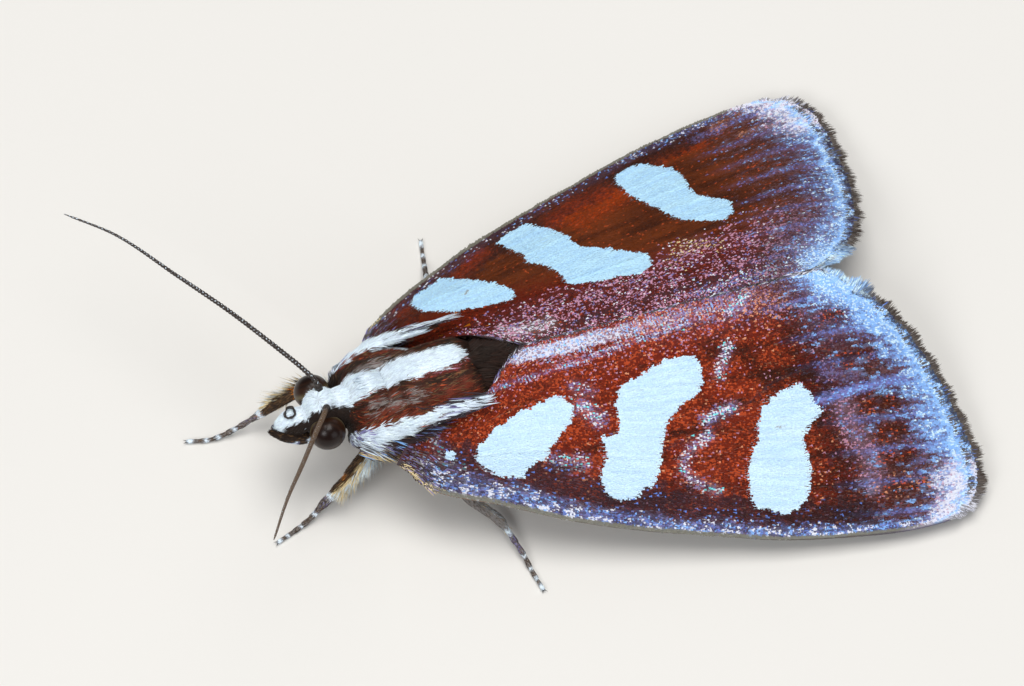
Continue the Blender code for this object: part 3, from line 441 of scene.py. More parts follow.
def smoothstep(low, high, value):
    """Rise softly from 0 at low to 1 at high."""
    share = np.clip((value - low) / (high - low), 0.0, 1.0)
    return share * share * (3.0 - 2.0 * share)


def bump(centre, half, value):
    """1 at a centre, falling softly to 0 at half a width from it."""
    return np.exp(-((value - centre) / half) ** 2)


def path_at(points, shares):
    """Points at shares, 0 to 1, of the length of a smooth curve through the given points."""
    points = np.asarray(points, float)
    lengths = np.linalg.norm(np.diff(points, axis=0), axis=1)
    places = np.concatenate(([0.0], np.cumsum(lengths))) / lengths.sum()
    shares = np.clip(np.asarray(shares, float), 0.0, 1.0)
    last = len(points) - 1
    index = np.clip(np.searchsorted(places, shares, side="right") - 1, 0, last - 1)
    before = np.maximum(index - 1, 0)
    after = np.minimum(index + 2, last)
    span = (places[index + 1] - places[index])[..., None]
    step = (shares - places[index])[..., None] / span
    pull_in = (points[index + 1] - points[before]) / (places[index + 1] - places[before])[..., None] * span
    pull_out = (points[after] - points[index]) / (places[after] - places[index])[..., None] * span
    return (points[index] * (2 * step ** 3 - 3 * step ** 2 + 1)
            + pull_in * (step ** 3 - 2 * step ** 2 + step)
            + points[index + 1] * (3 * step ** 2 - 2 * step ** 3)
            + pull_out * (step ** 3 - step ** 2))


def table_at(table, stations):
    """Values of a smooth curve of (station, value) pairs at many stations."""
    curve = path_at(table, np.linspace(0.0, 1.0, 200))
    return np.interp(stations, curve[:, 0], curve[:, 1])


def straight(table, stations):
    """Values at many stations on straight pieces through (station, value) pairs."""
    return np.interp(stations, *np.transpose(table))


def cloud(points, size, seed):
    """Smooth noise, 0 to 1, at points of two or three axes; size is that of its patches."""
    points = np.asarray(points, float) / size
    cells = np.floor(points).astype(np.int64)
    share = points - cells
    share = share * share * (3.0 - 2.0 * share)
    table = np.random.default_rng(seed).random(4096)
    primes = (73856093, 19349663, 83492791)
    total = np.zeros(len(points))
    for corner in itertools.product((0, 1), repeat=points.shape[1]):
        key = np.zeros(len(points), np.int64)
        weight = np.ones(len(points))
        for axis, step in enumerate(corner):
            key ^= (cells[:, axis] + step) * primes[axis]
            weight *= share[:, axis] if step else 1.0 - share[:, axis]
        total += table[key & 4095] * weight
    return total


def unit(vectors):
    """Vectors brought to length 1."""
    return vectors / np.maximum(np.linalg.norm(vectors, axis=-1, keepdims=True), 1e-12)


def mix(first, second, share):
    """Colours between two, by a share for each point."""
    return first + (second - first) * np.clip(share, 0.0, 1.0)[:, None]


class Marker:
    """Lays one colour after another on many points, scale by scale or blended evenly."""

    def __init__(self, count, colour, seed=None):
        self.tint = np.tile(tone(colour), (count, 1))
        self.random = None if seed is None else np.random.default_rng(seed)

    def lay(self, colour, chance, grain=0.6):
        """Cover a share of the points; grain says how far single scales stand out."""
        share = np.clip(chance, 0.0, 1.0)
        if self.random is not None:
            drawn = self.random.random(len(self.tint)) < share
            share = share * (1.0 - grain) + drawn * grain
        self.tint = mix(self.tint, tone(colour), share * np.ones(len(self.tint)))
        return self

    def vary(self, amount):
        """Make single points lighter or darker."""
        if self.random is not None:
            factor = 1.0 + amount * (self.random.random((len(self.tint), 1)) * 2.0 - 1.0)
            self.tint = self.tint * factor
        return self


def from_line(plan, line):
    """Distance of points from a line of many short pieces."""
    nearest = np.full(len(plan), np.inf)
    for start, end in zip(line[:-1], line[1:]):
        way = end - start
        share = np.clip((plan - start) @ way / (way @ way), 0.0, 1.0)
        nearest = np.minimum(nearest, np.linalg.norm(plan - start - share[:, None] * way, axis=1))
    return nearest


def strand(plan, points, half):
    """1 on a drawn line in plan, falling softly beside it."""
    line = path_at(points, np.linspace(0.0, 1.0, 12))
    return bump(0.0, half, from_line(plan, line))


def outline_depth(plan, outline, smooth=80):
    """Depth of points inside a closed smooth outline, negative outside it."""
    points = np.asarray([outline[-1]] + list(outline) + [outline[0], outline[1]], float)
    lengths = np.concatenate(([0.0], np.cumsum(np.linalg.norm(np.diff(points, axis=0), axis=1))))
    shares = np.linspace(lengths[1], lengths[-2], smooth) / lengths[-1]
    ring = path_at(points, shares)
    inside = np.zeros(len(plan), bool)
    x, y = plan.T
    for (x0, y0), (x1, y1) in zip(ring[:-1], ring[1:]):
        if y0 != y1:
            inside ^= ((y0 > y) != (y1 > y)) & (x < x0 + (x1 - x0) * (y - y0) / (y1 - y0))
    nearest = from_line(plan, ring)
    return np.where(inside, nearest, -nearest)


# Wing surfaces

def spread(edges, u, v):
    """Plan of a wing: u runs from the root outwards, v from inner edge to leading edge."""
    root, costa, margin, inner = edges
    u = np.asarray(u, float)
    v = np.asarray(v, float)
    low = path_at(inner, u)
    high = path_at(costa, u)
    near = path_at(root, v)
    far = path_at(margin, v)
    u = u[:, None]
    v = v[:, None]
    corners = (np.array(root[0]) * (1 - u) * (1 - v) + np.array(margin[0]) * u * (1 - v)
               + np.array(root[-1]) * (1 - u) * v + np.array(margin[-1]) * u * v)
    return low * (1 - v) + high * v + near * (1 - u) + far * u - corners


def roof_height(x, y):
    """Upper face of the forewings before their edges curl."""
    return RIDGE_HEIGHT - RIDGE_FALL * y - np.hypot(ROOF_SLOPE * x, RIDGE_ROUND) + RIDGE_ROUND


def vein_rise(u, v):
    """Share, 0 to 1, by which the veins of the forewing stand up."""
    rise = np.zeros(len(u))
    for line in FORE_VEINS:
        reach = np.ones(len(u)) if line in FORE_STEMS else smoothstep(CELL_END - 0.04, CELL_END + 0.04, u)
        rise = np.maximum(rise, reach * bump(line / FORE_LINES, 0.009, v))
    return rise


def forewing_surface(u, v):
    """Upper face of the left forewing's skin."""
    v = v * (1.0 - ROOT_TAPER * (1.0 - smoothstep(0.0, ROOT_TAPER_LENGTH, u)))
    plan = spread(FORE_EDGES, u, v)
    x = plan[:, 0]
    y = plan[:, 1]
    curl = np.maximum(COSTA_CURL - COSTA_CURL_FALL * y, 0.0) * smoothstep(COSTA_CURL_START, 1.0, v)
    arch = np.maximum(np.sin(np.pi * np.minimum(v / 0.8, 1.0)), 0.0) ** 0.8
    droop = MARGIN_DROOP * smoothstep(MARGIN_DROOP_START, 1.0, u) * arch
    sink = ROOT_SINK * (1.0 - smoothstep(0.0, ROOT_SINK_LENGTH, u))
    height = roof_height(x, y) - curl - droop - sink
    height = LOWEST_WING + LOWEST_SOFTNESS * np.logaddexp(0.0, (height - LOWEST_WING) / LOWEST_SOFTNESS)
    ripple = 0.05 * np.sin(v * FORE_LINES * math.pi) * smoothstep(0.55, 1.0, u)
    return np.column_stack((x, y, height - 0.08 + 0.05 * vein_rise(u, v) + ripple))


def hindwing_surface(u, v):
    """Upper face of the left hindwing's skin."""
    plan = spread(HIND_EDGES, u, v)
    sink = HIND_ROOT_SINK * (1.0 - smoothstep(0.0, HIND_SINK_LENGTH, u))
    height = roof_height(plan[:, 0], plan[:, 1]) - HIND_BELOW + 0.1 - sink
    return np.column_stack((plan, height))


def directions(surface, u, v):
    """Unit vectors on a wing: outwards along it, and up from its face."""
    step = 0.002
    ahead = surface(np.minimum(u + step, 1.0), v) - surface(np.maximum(u - step, 0.0), v)
    aside = surface(u, np.minimum(v + step, 1.0)) - surface(u, np.maximum(v - step, 0.0))
    return unit(ahead), unit(np.cross(aside, ahead))


def wing_unwrap(u, v):
    """Place on a wing's skin laid flat."""
    return np.column_stack((u, v)) * UNWRAP_SHARE + UNWRAP_START


def to_side(points, right):
    """Points of the left side, or their mirror image on the right side."""
    return points * np.array([-1.0, 1.0, 1.0]) if right else points


# Markings of the wings

class WingPlaces:
    """Places on a forewing, with the distances and cloudy patterns that its markings follow."""

    def __init__(self, u, v, right):
        base = 40 if right else 0
        self.v = v
        self.plan = spread(FORE_EDGES, u, v)
        self.x, self.y = self.plan.T
        width = np.linalg.norm(path_at(FORE_EDGES[1], u) - path_at(FORE_EDGES[3], u), axis=1)
        self.to_costa = (1.0 - v) * width * COSTA_SLANT
        self.to_margin = (1.0 - u) * FORE_LENGTH
        self.broad = cloud(self.plan, 1.7, base + 1)
        self.middle = cloud(self.plan, 0.6, base + 2)
        self.fine = cloud(self.plan, 0.22, base + 3)
        self.streak = cloud(np.column_stack((v * 60.0, self.y / 1.9)), 1.0, base + 4)
        self.thin_streak = cloud(np.column_stack((v * 130.0, self.y / 1.2)), 1.0, base + 5)
        self.dash = cloud(np.column_stack((v * 100.0, self.y / 0.34)), 1.0, base + 6)
        self.rim_streak = cloud(np.column_stack((self.to_costa / 0.06, self.y / 0.5)), 1.0, base + 7)
        self.row = 0.5 + 0.5 * np.sin(self.y * 2.0 * math.pi / ROW_PERIOD)
        self.vein = np.zeros(len(u))
        for line in FORE_VEINS:
            self.vein = np.maximum(self.vein, bump(line / FORE_LINES, 0.011, v))
        self.between = np.sin(v * FORE_LINES * math.pi / 2.0) ** 2


def stroke(marks, on, table):
    """Lay drawn strokes: colour, amount, grain, half width and the points of each."""
    for colour, amount, grain, half, points in table:
        marks.lay(colour, amount * strand(on.plan, points, half), grain)


def red_ground(marks, on):
    """Ground of the left forewing: dark red sown with orange scales, and its pale dusting with painted
    glints.
    """
    outer = smoothstep(5.0, 8.0, on.y)
    ember = 0.275 + 0.16 * (on.middle - 0.5) + 0.16 * (on.broad - 0.5) + 0.16 * (on.streak - 0.5)
    ember = ember - 0.17 * outer
    marks.lay("ember", ember, 0.58)
    marks.lay("peach", 0.02 + 0.03 * outer, 0.85)
    dark = 0.13 + 0.34 * (on.streak - 0.5) + 0.3 * (on.fine - 0.5) + 0.5 * outer
    marks.lay("umber", dark + 0.3 * on.vein * smoothstep(-3.0, 1.0, on.y), 0.45)
    stroke(marks, on, STROKES_LEFT)
    # pink specks near the ridge: partly painted pink glints on single scales
    marks.lay("rose", 0.02 + 0.09 * smoothstep(3.0, 0.6, on.x), 0.8)
    ridge = smoothstep(0.2, 0.34, on.x) * smoothstep(0.95, 0.78, on.x + 0.2 * (on.fine - 0.5))
    fading = 0.2 * smoothstep(4.0, 1.0, on.y) + 0.8 * smoothstep(0.6, -2.2, on.y)
    ridge *= smoothstep(-6.4, -5.4, on.y) * fading
    bars = smoothstep(1.3, 1.0, on.x + 0.3 * (on.fine - 0.5)) * smoothstep(0.1, 0.24, on.x)
    bars *= smoothstep(-5.0, -3.8, on.y) * smoothstep(6.8, 3.0, on.y) * smoothstep(0.25, 0.6, on.middle)
    second = bump(1.46 - 0.075 * (on.y + 4.0), 0.11, on.x) * smoothstep(-9.2, -8.0, on.y)
    second *= smoothstep(4.5, 1.6, on.y)
    lines = (0.8 * bars + second) * smoothstep(0.5, 0.7, on.row) * smoothstep(0.25, 0.5, on.fine)
    marks.lay("lilac", 0.34 * ridge + 0.5 * lines + 0.2 * second, 0.4)
    # white scales on the ridge and its bars: painted glints, highlights on single scales
    marks.lay("glint", 0.56 * ridge + 0.42 * lines, 0.6)
    marks.lay("sky", 0.14 * ridge + 0.22 * lines, 0.7)
    marks.lay("lilac", 0.2 * smoothstep(2.2, 0.4, on.x) * smoothstep(-1.0, 4.0, on.y), 0.7)
    flecks = sum(amount * strand(on.plan, points, 1.25 * half) for amount, half, points in FLECKS_LEFT)
    marks.lay("lilac", 0.45 * flecks, 0.6)
    # white and blue-green scales in the pale flecks: painted glints, highlights on single scales
    marks.lay("glint", 0.62 * flecks * smoothstep(0.35, 0.65, on.row), 0.8)
    marks.lay("cyan", 0.08 * flecks + 0.05 * lines, 0.9)


def brown_ground(marks, on):
    """Ground of the right forewing: smooth brown with rust patches, dusted pink near the ridge, with painted
    glints in the dusting.
    """
    marks.lay("umber", 0.24 + 0.9 * (on.streak - 0.5) + 0.5 * (on.broad - 0.5), 0.15)
    marks.lay("maroon", 0.8 * smoothstep(4.4, 2.4, on.x) * smoothstep(10.0, 6.0, on.y), 0.3)
    marks.lay("umber", 0.4 * smoothstep(3.4, 1.4, on.x), 0.7)
    stroke(marks, on, STROKES_RIGHT)
    marks.lay("ember", 0.05 * on.thin_streak, 0.5)
    reach = 2.35 + 0.16 * (on.y + 3.0)
    dusted = smoothstep(reach + 0.8, reach - 1.0, on.x) * smoothstep(-9.4, -7.6, on.y)
    dusted *= 0.07 + 0.2 * on.middle + 0.24 * (on.fine - 0.5)
    dusted *= 1.0 - 0.6 * strand(on.plan, [(0.4, -2.9), (0.6, -0.2), (0.8, 2.9), (1.0, 7.7)], 0.2)
    marks.lay("lilac", 0.5 * dusted, 0.85)
    marks.lay("rose", 1.2 * dusted, 0.9)
    # white scales in the dusting: painted glints, highlights on single scales
    marks.lay("glint", 0.14 * dusted, 0.9)


def lay_bloom(marks, on, right):
    """Violet and blue bloom of the outer wing, densest before the margin, with pale dashes inwards."""
    depth = on.to_margin - 1.0 + 1.5 * (on.thin_streak - 0.5) + 0.8 * (on.fine - 0.5)
    corner = smoothstep(4.4, 1.2, on.x) * smoothstep(7.0, 10.0, on.y)
    near = np.clip(smoothstep(2.5, 0.0, depth) + 0.45 * corner, 0.0, 1.0)
    haze = np.clip(smoothstep(5.6, 1.6, depth) + corner, 0.0, 1.0)
    vein = on.vein * smoothstep(7.0, 3.5, on.to_margin)
    if right:
        patches = 0.3 * bump(4.0, 1.3, on.to_margin) * on.between * smoothstep(0.12, 0.3, on.v)
    else:
        patches = [strand(on.plan, [(x, start), (x, end)], 0.33) for x, start, end in DARK_PATCHES]
        patches = np.max(patches, axis=0)
    open_to = 1.0 - 0.92 * patches
    marks.lay("umber", 0.5 * haze, 0.3)
    marks.lay("ember", 0.07 * patches, 0.8)
    marks.lay("dusk", 0.5 * haze * open_to * (0.35 + on.thin_streak), 0.45)
    lit = open_to * (0.5 if right else 1.0)
    marks.lay("azure", (0.36 * near + 0.26 * vein) * lit, 0.45)
    marks.lay("lilac", (0.3 * near + 0.3 * vein) * open_to * (0.55 if right else 1.0), 0.5)
    marks.lay("sky", 0.8 * near ** 2.1 * lit, 0.5)
    dashes = smoothstep(0.62, 0.8, on.dash) * haze * open_to * (0.22 if right else 0.75)
    marks.lay("sky", 0.8 * dashes, 0.5)
    marks.lay("ice", 0.5 * dashes * near + 0.14 * near ** 3, 0.8)
    if not right:
        band = strand(on.plan, [(5.5, 7.3), (5.45, 9.0), (5.3, 11.8)], 0.17)
        marks.lay("azure", 0.5 * band, 0.4)
        marks.lay("lilac", 0.5 * band, 0.6)
        marks.lay("sky", 0.2 * band, 0.8)


def lay_costa(marks, on, right):
    """Dark band inside the leading edge, then the speckled edge with painted glints, and its grey rim."""
    along = smoothstep(-11.2, -9.4, on.y) * smoothstep(9.4, 7.4, on.y)
    band = smoothstep(1.65, 1.2, on.to_costa + 0.6 * (on.fine - 0.5)) * along
    marks.lay("slate", band * (0.28 if right else 0.6), 0.25)
    marks.lay("umber", band * 0.45, 0.25)
    marks.lay("azure", 0.04 * band * (not right), 0.85)
    marks.lay("umber", 0.3 * band * smoothstep(1.0, 5.0, on.y), 0.4)
    edge = smoothstep(0.82, 0.3, on.to_costa + 0.3 * (on.fine - 0.5)) * smoothstep(-11.8, -10.4, on.y)
    edge *= 1.0 - 0.5 * smoothstep(9.0, 11.0, on.y)
    if right:
        edge = edge * (0.14 + 0.3 * smoothstep(2.0, 8.0, on.y))
    streaks = 0.4 + 1.2 * on.rim_streak
    marks.lay("slate", edge * 0.6, 0.3)
    marks.lay("lilac", edge * 0.27 * streaks, 0.5)
    marks.lay("azure", edge * 0.17 * streaks, 0.6)
    marks.lay("sky", edge * 0.3 * streaks * on.middle, 0.7)
    # white scales strewn along the edge: painted glints, highlights on single scales
    glint = (0.36 + 0.2 * smoothstep(-2.0, -7.0, on.y)) * streaks * smoothstep(0.2, 0.8, on.fine)
    marks.lay("glint", edge * glint, 0.8)
    marks.lay("rim", 0.95 * smoothstep(0.17, 0.11, on.to_costa), 0.15)


def lay_margin(marks, on, right):
    """Pale inner corner, pale tip and the jagged line before the fringe."""
    corner = smoothstep(2.2, 0.6, on.x) * smoothstep(8.2, 9.6, on.y) * (0.3 + on.thin_streak)
    marks.lay("sky", corner * (0.5 if right else 0.85), 0.5)
    marks.lay("ice", corner * 0.34, 0.8)
    tip = smoothstep(2.9, 1.3, on.to_margin + 0.8 * (on.fine - 0.5)) * smoothstep(8.7, 9.9, on.x)
    marks.lay("lilac", 0.3 * tip, 0.5)
    marks.lay("rose", 0.3 * tip, 0.7)
    marks.lay("glint", 0.72 * tip, 0.6)
    wave = 0.5 * (cloud(np.column_stack((on.v * 70.0, on.v)), 1.0, 7 + right) - 0.5) - 0.3 * on.vein
    line = on.to_margin + wave
    inner_corner = smoothstep(0.2, 0.12, on.v)
    marks.lay("umber", 0.8 * smoothstep(0.92, 0.74, line) * (1.0 - 0.9 * tip), 0.3)
    marks.lay("ice", 0.8 * inner_corner * smoothstep(0.76, 0.7, line), 0.3)
    marks.lay("sky", 0.9 * bump(1.12, 0.2, line), 0.4)
    marks.lay("ice", 0.5 * bump(1.08, 0.13, line), 0.6)


def forewing_tint(u, v, right, seed=None):
    """Colours of the forewing's upper face at many places."""
    on = WingPlaces(u, v, right)
    marks = Marker(len(u), "chocolate" if right else "maroon", seed)
    (brown_ground if right else red_ground)(marks, on)
    lay_bloom(marks, on, right)
    lay_costa(marks, on, right)
    lay_margin(marks, on, right)

    # dull grey root, half hidden under the shoulder flap
    root = smoothstep(-10.2, -11.2, on.y)
    marks.lay("umber", 0.8 * root, 0.3)
    marks.lay("lilac", 0.08 * root, 0.8)

    # white spots, faintly streaked, their edge scales standing out like teeth
    white = Marker(len(u), "ice").lay("sky", 0.3 * on.thin_streak + 0.12 * on.row).tint
    if right:
        white = white * np.array([0.8, 0.93, 0.97])
    for outline in SPOTS_RIGHT if right else SPOTS_LEFT:
        depth = outline_depth(on.plan, outline) + 0.16 * (on.fine - 0.5)
        if marks.random is not None:
            depth += 0.1 * (marks.random.random(len(u)) - 0.5)
        share = smoothstep(-0.01, 0.01, depth)[:, None]
        marks.tint = marks.tint * (1.0 - share) + white * share
    nick = [(3.85, -6.1), (4.06, -5.88)] if right else [(6.1, 5.22), (6.16, 5.5)]
    marks.lay("smoke", 0.8 * strand(on.plan, nick, 0.05), 0.5)
    return marks.vary(0.07).tint


def underside_tint(u, v, right, seed=None):
    """Colours of the forewing's lower face: the same spots on a paler, warmer ground."""
    plan = spread(FORE_EDGES, u, v)
    middle = cloud(plan, 0.8, 91)
    marks = Marker(len(u), ("umber", 1.3), seed)
    marks.lay(("orange", 0.55), 0.8 * smoothstep(0.45, 0.1, u) + 0.25 * (middle - 0.5))
    marks.lay(("lilac", 0.6), 0.55 * smoothstep(6.0, 1.5, (1.0 - u) * FORE_LENGTH))
    marks.lay("soot", 1.2 * smoothstep(0.12, 0.05, v) * smoothstep(0.4, 0.3, u))
    for outline in SPOTS_LEFT[:3]:
        depth = outline_depth(plan, outline, 40)
        marks.tint = mix(marks.tint, tone(("ice", 0.85)), smoothstep(-0.05, 0.05, depth))
    return marks.vary(0.2).tint


def hindwing_tint(u, v, right, seed=None):
    """Colours of the hindwing: orange with a dark border and a dark spot."""
    plan = spread(HIND_EDGES, u, v)
    marks = Marker(len(u), "orange", seed)
    border = (1.0 - u) * HIND_LENGTH + 0.8 * (cloud(plan, 1.2, 93) - 0.5)
    marks.lay("soot", smoothstep(4.2, 3.4, border))
    marks.lay("soot", smoothstep(0.8, 0.6, np.hypot(plan[:, 0] - 4.0, plan[:, 1] + 1.4)))
    marks.lay("soot", 0.5 * smoothstep(0.8, 1.0, v))
    marks.lay("umber", 1.2 * smoothstep(0.36, 0.24, u) + 0.5 * smoothstep(0.25, 0.1, v))
    return marks.vary(0.18).tint


# Meshes

def to_object(name, shape, material):
    """Turn a bmesh whose lengths are in millimetres into a piece in metres."""
    mesh = bpy.data.meshes.new(name)
    shape.to_mesh(mesh)
    shape.free()
    return place(name, mesh, material)


def place(name, mesh, material, smooth=True):
    """Bring a mesh to metres and set it into the scene."""
    mesh.transform(Matrix.Scale(MM, 4))
    mesh.shade_smooth() if smooth else mesh.shade_flat()
    mesh.materials.clear()
    mesh.materials.append(material)
    piece = bpy.data.objects.new(name, mesh)
    bpy.context.scene.collection.objects.link(piece)
    return piece


def corners_of(shape):
    """Corners of a bmesh as an array."""
    return np.array([vertex.co[:] for vertex in shape.verts])


def read(items, field, kind=np.float32):
    """Three values of each item of a mesh, as an array."""
    values = np.empty(len(items) * 3, kind)
    items.foreach_get(field, values)
    return values.reshape(-1, 3)


def move_corners(shape, places):
    """Put every corner of a bmesh where an array says."""
    for vertex, target in zip(shape.verts, places):
        vertex.co = target


def give_tint(mesh, tint, gloss=None):
    """Store a colour for each corner, with its gloss as the fourth value."""
    values = np.ones((len(mesh.vertices), 4), np.float32)
    values[:, :3] = np.clip(tint, 0.0, 1.0)
    if gloss is not None:
        values[:, 3] = gloss
    layer = mesh.color_attributes.new("tint", "FLOAT_COLOR", "POINT")
    layer.data.foreach_set("color", values.ravel())


def finish(piece, slot, *nodes):
    """Let a piece ride on the body and stand for solids, which are hidden; the slot is not used."""
    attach(piece, BODY)
    if nodes:
        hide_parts(*nodes)
    return piece


def coat(name, form, roots, headings, ups, lengths, widths, lift, curl, tints, unwrap, material, slot,
         thick=0.2, gloss=None, sway=0.0):
    """Join many scales or hairs of one form into one piece.

    Each starts at its root and runs along its heading; lift raises its tip and curl bends it down
    again. Its place on the unwrapped skin goes into the UV map named OFBake.
    """
    corners, faces = (np.array(part, float) for part in form)
    faces = faces.astype(np.int64)
    count = len(roots)
    headings = unit(headings - ups * np.sum(headings * ups, axis=1, keepdims=True))
    sides = np.cross(headings, ups)
    lengths = np.broadcast_to(lengths, count)[:, None]
    widths = np.broadcast_to(widths, count)[:, None]
    lift = np.broadcast_to(lift, count)[:, None]
    curl = np.broadcast_to(curl, count)[:, None]
    sway = np.broadcast_to(sway, count)[:, None]
    across, forward, high = corners.T
    rise = lengths * (lift * forward - curl * forward ** 2) + widths * thick * high
    aside = widths * across + lengths * sway * forward ** 2
    places = (roots[:, None, :] + sides[:, None, :] * aside[..., None]
              + headings[:, None, :] * (lengths * forward)[..., None] + ups[:, None, :] * rise[..., None])
    places = places.reshape(-1, 3)
    if count * len(faces) > MOST_TRIANGLES:
        raise RuntimeError(f"{name} has {count * len(faces)} triangles")
    all_faces = (faces[None] + (np.arange(count) * len(corners))[:, None, None]).reshape(-1, 3)
    mesh = bpy.data.meshes.new(name)
    mesh.vertices.add(len(places))
    mesh.vertices.foreach_set("co", places.astype(np.float32).ravel())
    mesh.loops.add(all_faces.size)
    mesh.loops.foreach_set("vertex_index", all_faces.astype(np.int32).ravel())
    mesh.polygons.add(len(all_faces))
    mesh.polygons.foreach_set("loop_start", np.arange(0, all_faces.size, 3, dtype=np.int32))
    mesh.update(calc_edges=True)
    shine = np.ones(count) * 0.5 if gloss is None else gloss
    give_tint(mesh, np.repeat(tints, len(corners), axis=0), np.repeat(shine, len(corners)))
    patch = np.column_stack((across, forward - 0.5)) * PATCH
    place_on_skin = (unwrap[:, None, :] + patch[None]).reshape(-1, 2)[all_faces.ravel()]
    layer = mesh.uv_layers.new(name="OFBake")
    layer.data.foreach_set("uv", place_on_skin.astype(np.float32).ravel())
    piece = place(name, mesh, material, smooth=False)
    return finish(piece, slot)


def wing_rows(edges, step, along_end, rng):
    """Places of scales in staggered rows across a wing, as u and v."""
    ends = np.array([0.0, 1.0])
    reach = np.linalg.norm(np.diff(path_at(edges[1], np.linspace(0, 1, 200)), axis=0), axis=1).sum()
    rows = int(reach * along_end / step)
    all_u = []
    all_v = []
    for row in range(rows):
        u = (row + 0.5) / rows * along_end
        plan = spread(edges, np.full(2, u), ends)
        count = max(int(np.linalg.norm(plan[1] - plan[0]) / (step * 0.84)), 2)
        v = (np.arange(count) + 0.25 + 0.5 * (row % 2)) / count
        all_v.append(v)
        all_u.append(np.full(count, u))
    u = np.concatenate(all_u)
    v = np.concatenate(all_v)
    u = u + rng.normal(0.0, 0.12, len(u)) * along_end / rows
    v = v + rng.normal(0.0, 0.0012, len(v))
    return np.clip(u, 0.0, along_end), np.clip(v, 0.002, 0.998)


def wing_skin(name, surface, tint_top, tint_under, right, material, thickness, steps, end):
    """A thin closed wing membrane that carries the wing's markings on both faces."""
    shape = bmesh.new()
    bmesh.ops.create_grid(shape, x_segments=steps[0], y_segments=steps[1], size=0.5)
    bmesh.ops.solidify(shape, geom=list(shape.verts) + list(shape.edges) + list(shape.faces), thickness=1.0)
    corners = corners_of(shape)
    low = corners[:, 2] < corners[:, 2].mean()
    u = (corners[:, 0] + 0.5) * end
    v = corners[:, 1] + 0.5
    up = directions(surface, u, v)[1]
    edge = 1.0 + 0.7 * smoothstep(0.965, 0.99, v)
    body = surface(u, v) - up * (low * thickness * edge)[:, None]
    move_corners(shape, to_side(body, right))
    bmesh.ops.recalc_face_normals(shape, faces=shape.faces)
    piece = to_object(name, shape, material)
    tint = np.where(low[:, None], tint_under(u, v, right), tint_top(u, v, right))
    give_tint(piece.data, tint)
    return piece


def wing_scales(name, surface, edges, tint_of, right, under, material, slot, step, length, width, end,
                thickness, seed):
    """A coat of overlapping scales on one face of a wing."""
    rng = np.random.default_rng(seed)
    u, v = wing_rows(edges, step, end, rng)
    if under:
        u, v = u[v < 0.985], v[v < 0.985]
    along, up = directions(surface, u, v)
    roots = surface(u, v)
    if under:
        roots = roots - up * thickness
        up = -up
        length = length * np.clip((1.0 - v) * 12.0, 0.25, 1.0)
    aside = np.cross(along, up)
    turn = rng.normal(0.0, 0.1, len(u)) + 0.5 * (cloud(np.column_stack((u, v)) * 30.0, 1.0, seed) - 0.5)
    headings = along + aside * turn[:, None]
    tilted = unit(up + aside * rng.normal(0.0, 0.11, len(u))[:, None])
    long = length * rng.uniform(0.85, 1.12, len(u))
    wide = width * rng.uniform(0.85, 1.12, len(u))
    lift = rng.uniform(0.13, 0.24, len(u))
    tints = tint_of(u, v, right, seed + 1)
    roots, headings, tilted = (to_side(part, right) for part in (roots, headings, tilted))
    return coat(name, SCALE, roots, headings, tilted, long, wide, lift, 0.05, tints, wing_unwrap(u, v),
                material, slot, thick=0.16, gloss=rng.random(len(u)))


# Shader building

class Link:
    """A node socket on which Python's operators build Math nodes."""

    def __init__(self, shop, socket):
        self.shop = shop
        self.socket = socket

    def _math(self, operation, first, second):
        return self.shop.node("ShaderNodeMath", {"operation": operation}, {0: first, 1: second})

    def __add__(self, other):
        return self._math("ADD", self, other)

    def __radd__(self, other):
        return self._math("ADD", other, self)

    def __sub__(self, other):
        return self._math("SUBTRACT", self, other)

    def __rsub__(self, other):
        return self._math("SUBTRACT", other, self)

    def __mul__(self, other):
        return self._math("MULTIPLY", self, other)

    def __rmul__(self, other):
        return self._math("MULTIPLY", other, self)


class Shop:
    """Builds the nodes of one material."""

    def __init__(self, name):
        self.material = bpy.data.materials.new(name)
        self.material.use_nodes = True
        self.tree = self.material.node_tree
        self.shader = self.tree.nodes["Principled BSDF"]

    def node(self, kind, settings=None, inputs=None, output=0):
        """Add any node: its settings first, then the values or links of its sockets."""
        made = self.tree.nodes.new(kind)
        for name, value in (settings or {}).items():
            setattr(made, name, value)
        for name, value in (inputs or {}).items():
            self.feed(made.inputs[name], value)
        return Link(self, made.outputs[output])

    def feed(self, socket, value):
        """Give a socket a link or a value."""
        if isinstance(value, Link):
            self.tree.links.new(value.socket, socket)
        else:
            socket.default_value = value

    def set(self, **values):
        """Set sockets of the shader; an underscore stands for a space."""
        for name, value in values.items():
            self.feed(self.shader.inputs[name.replace("_", " ")], value)
        return self

    def coordinates(self):
        """Object coordinates, in metres."""
        return self.node("ShaderNodeTexCoord", None, None, "Object")

    def noise(self, scale, detail=2.0):
        """Noise on the object's own coordinates."""
        place = self.coordinates()
        return self.node("ShaderNodeTexNoise", None, {"Vector": place, "Scale": scale, "Detail": detail})

    def tint(self, output="Color"):
        """The colour or the gloss that the mesh carries."""
        return self.node("ShaderNodeAttribute", {"attribute_name": "tint"}, None, output)

    def shade(self, colour, factor):
        """A colour made lighter or darker by a factor."""
        return self.node("ShaderNodeVectorMath", {"operation": "SCALE"}, {0: colour, "Scale": factor})

    def bump(self, height, strength, distance):
        """A normal raised by a height."""
        inputs = {"Strength": strength, "Distance": distance, "Height": height}
        return self.node("ShaderNodeBump", None, inputs)


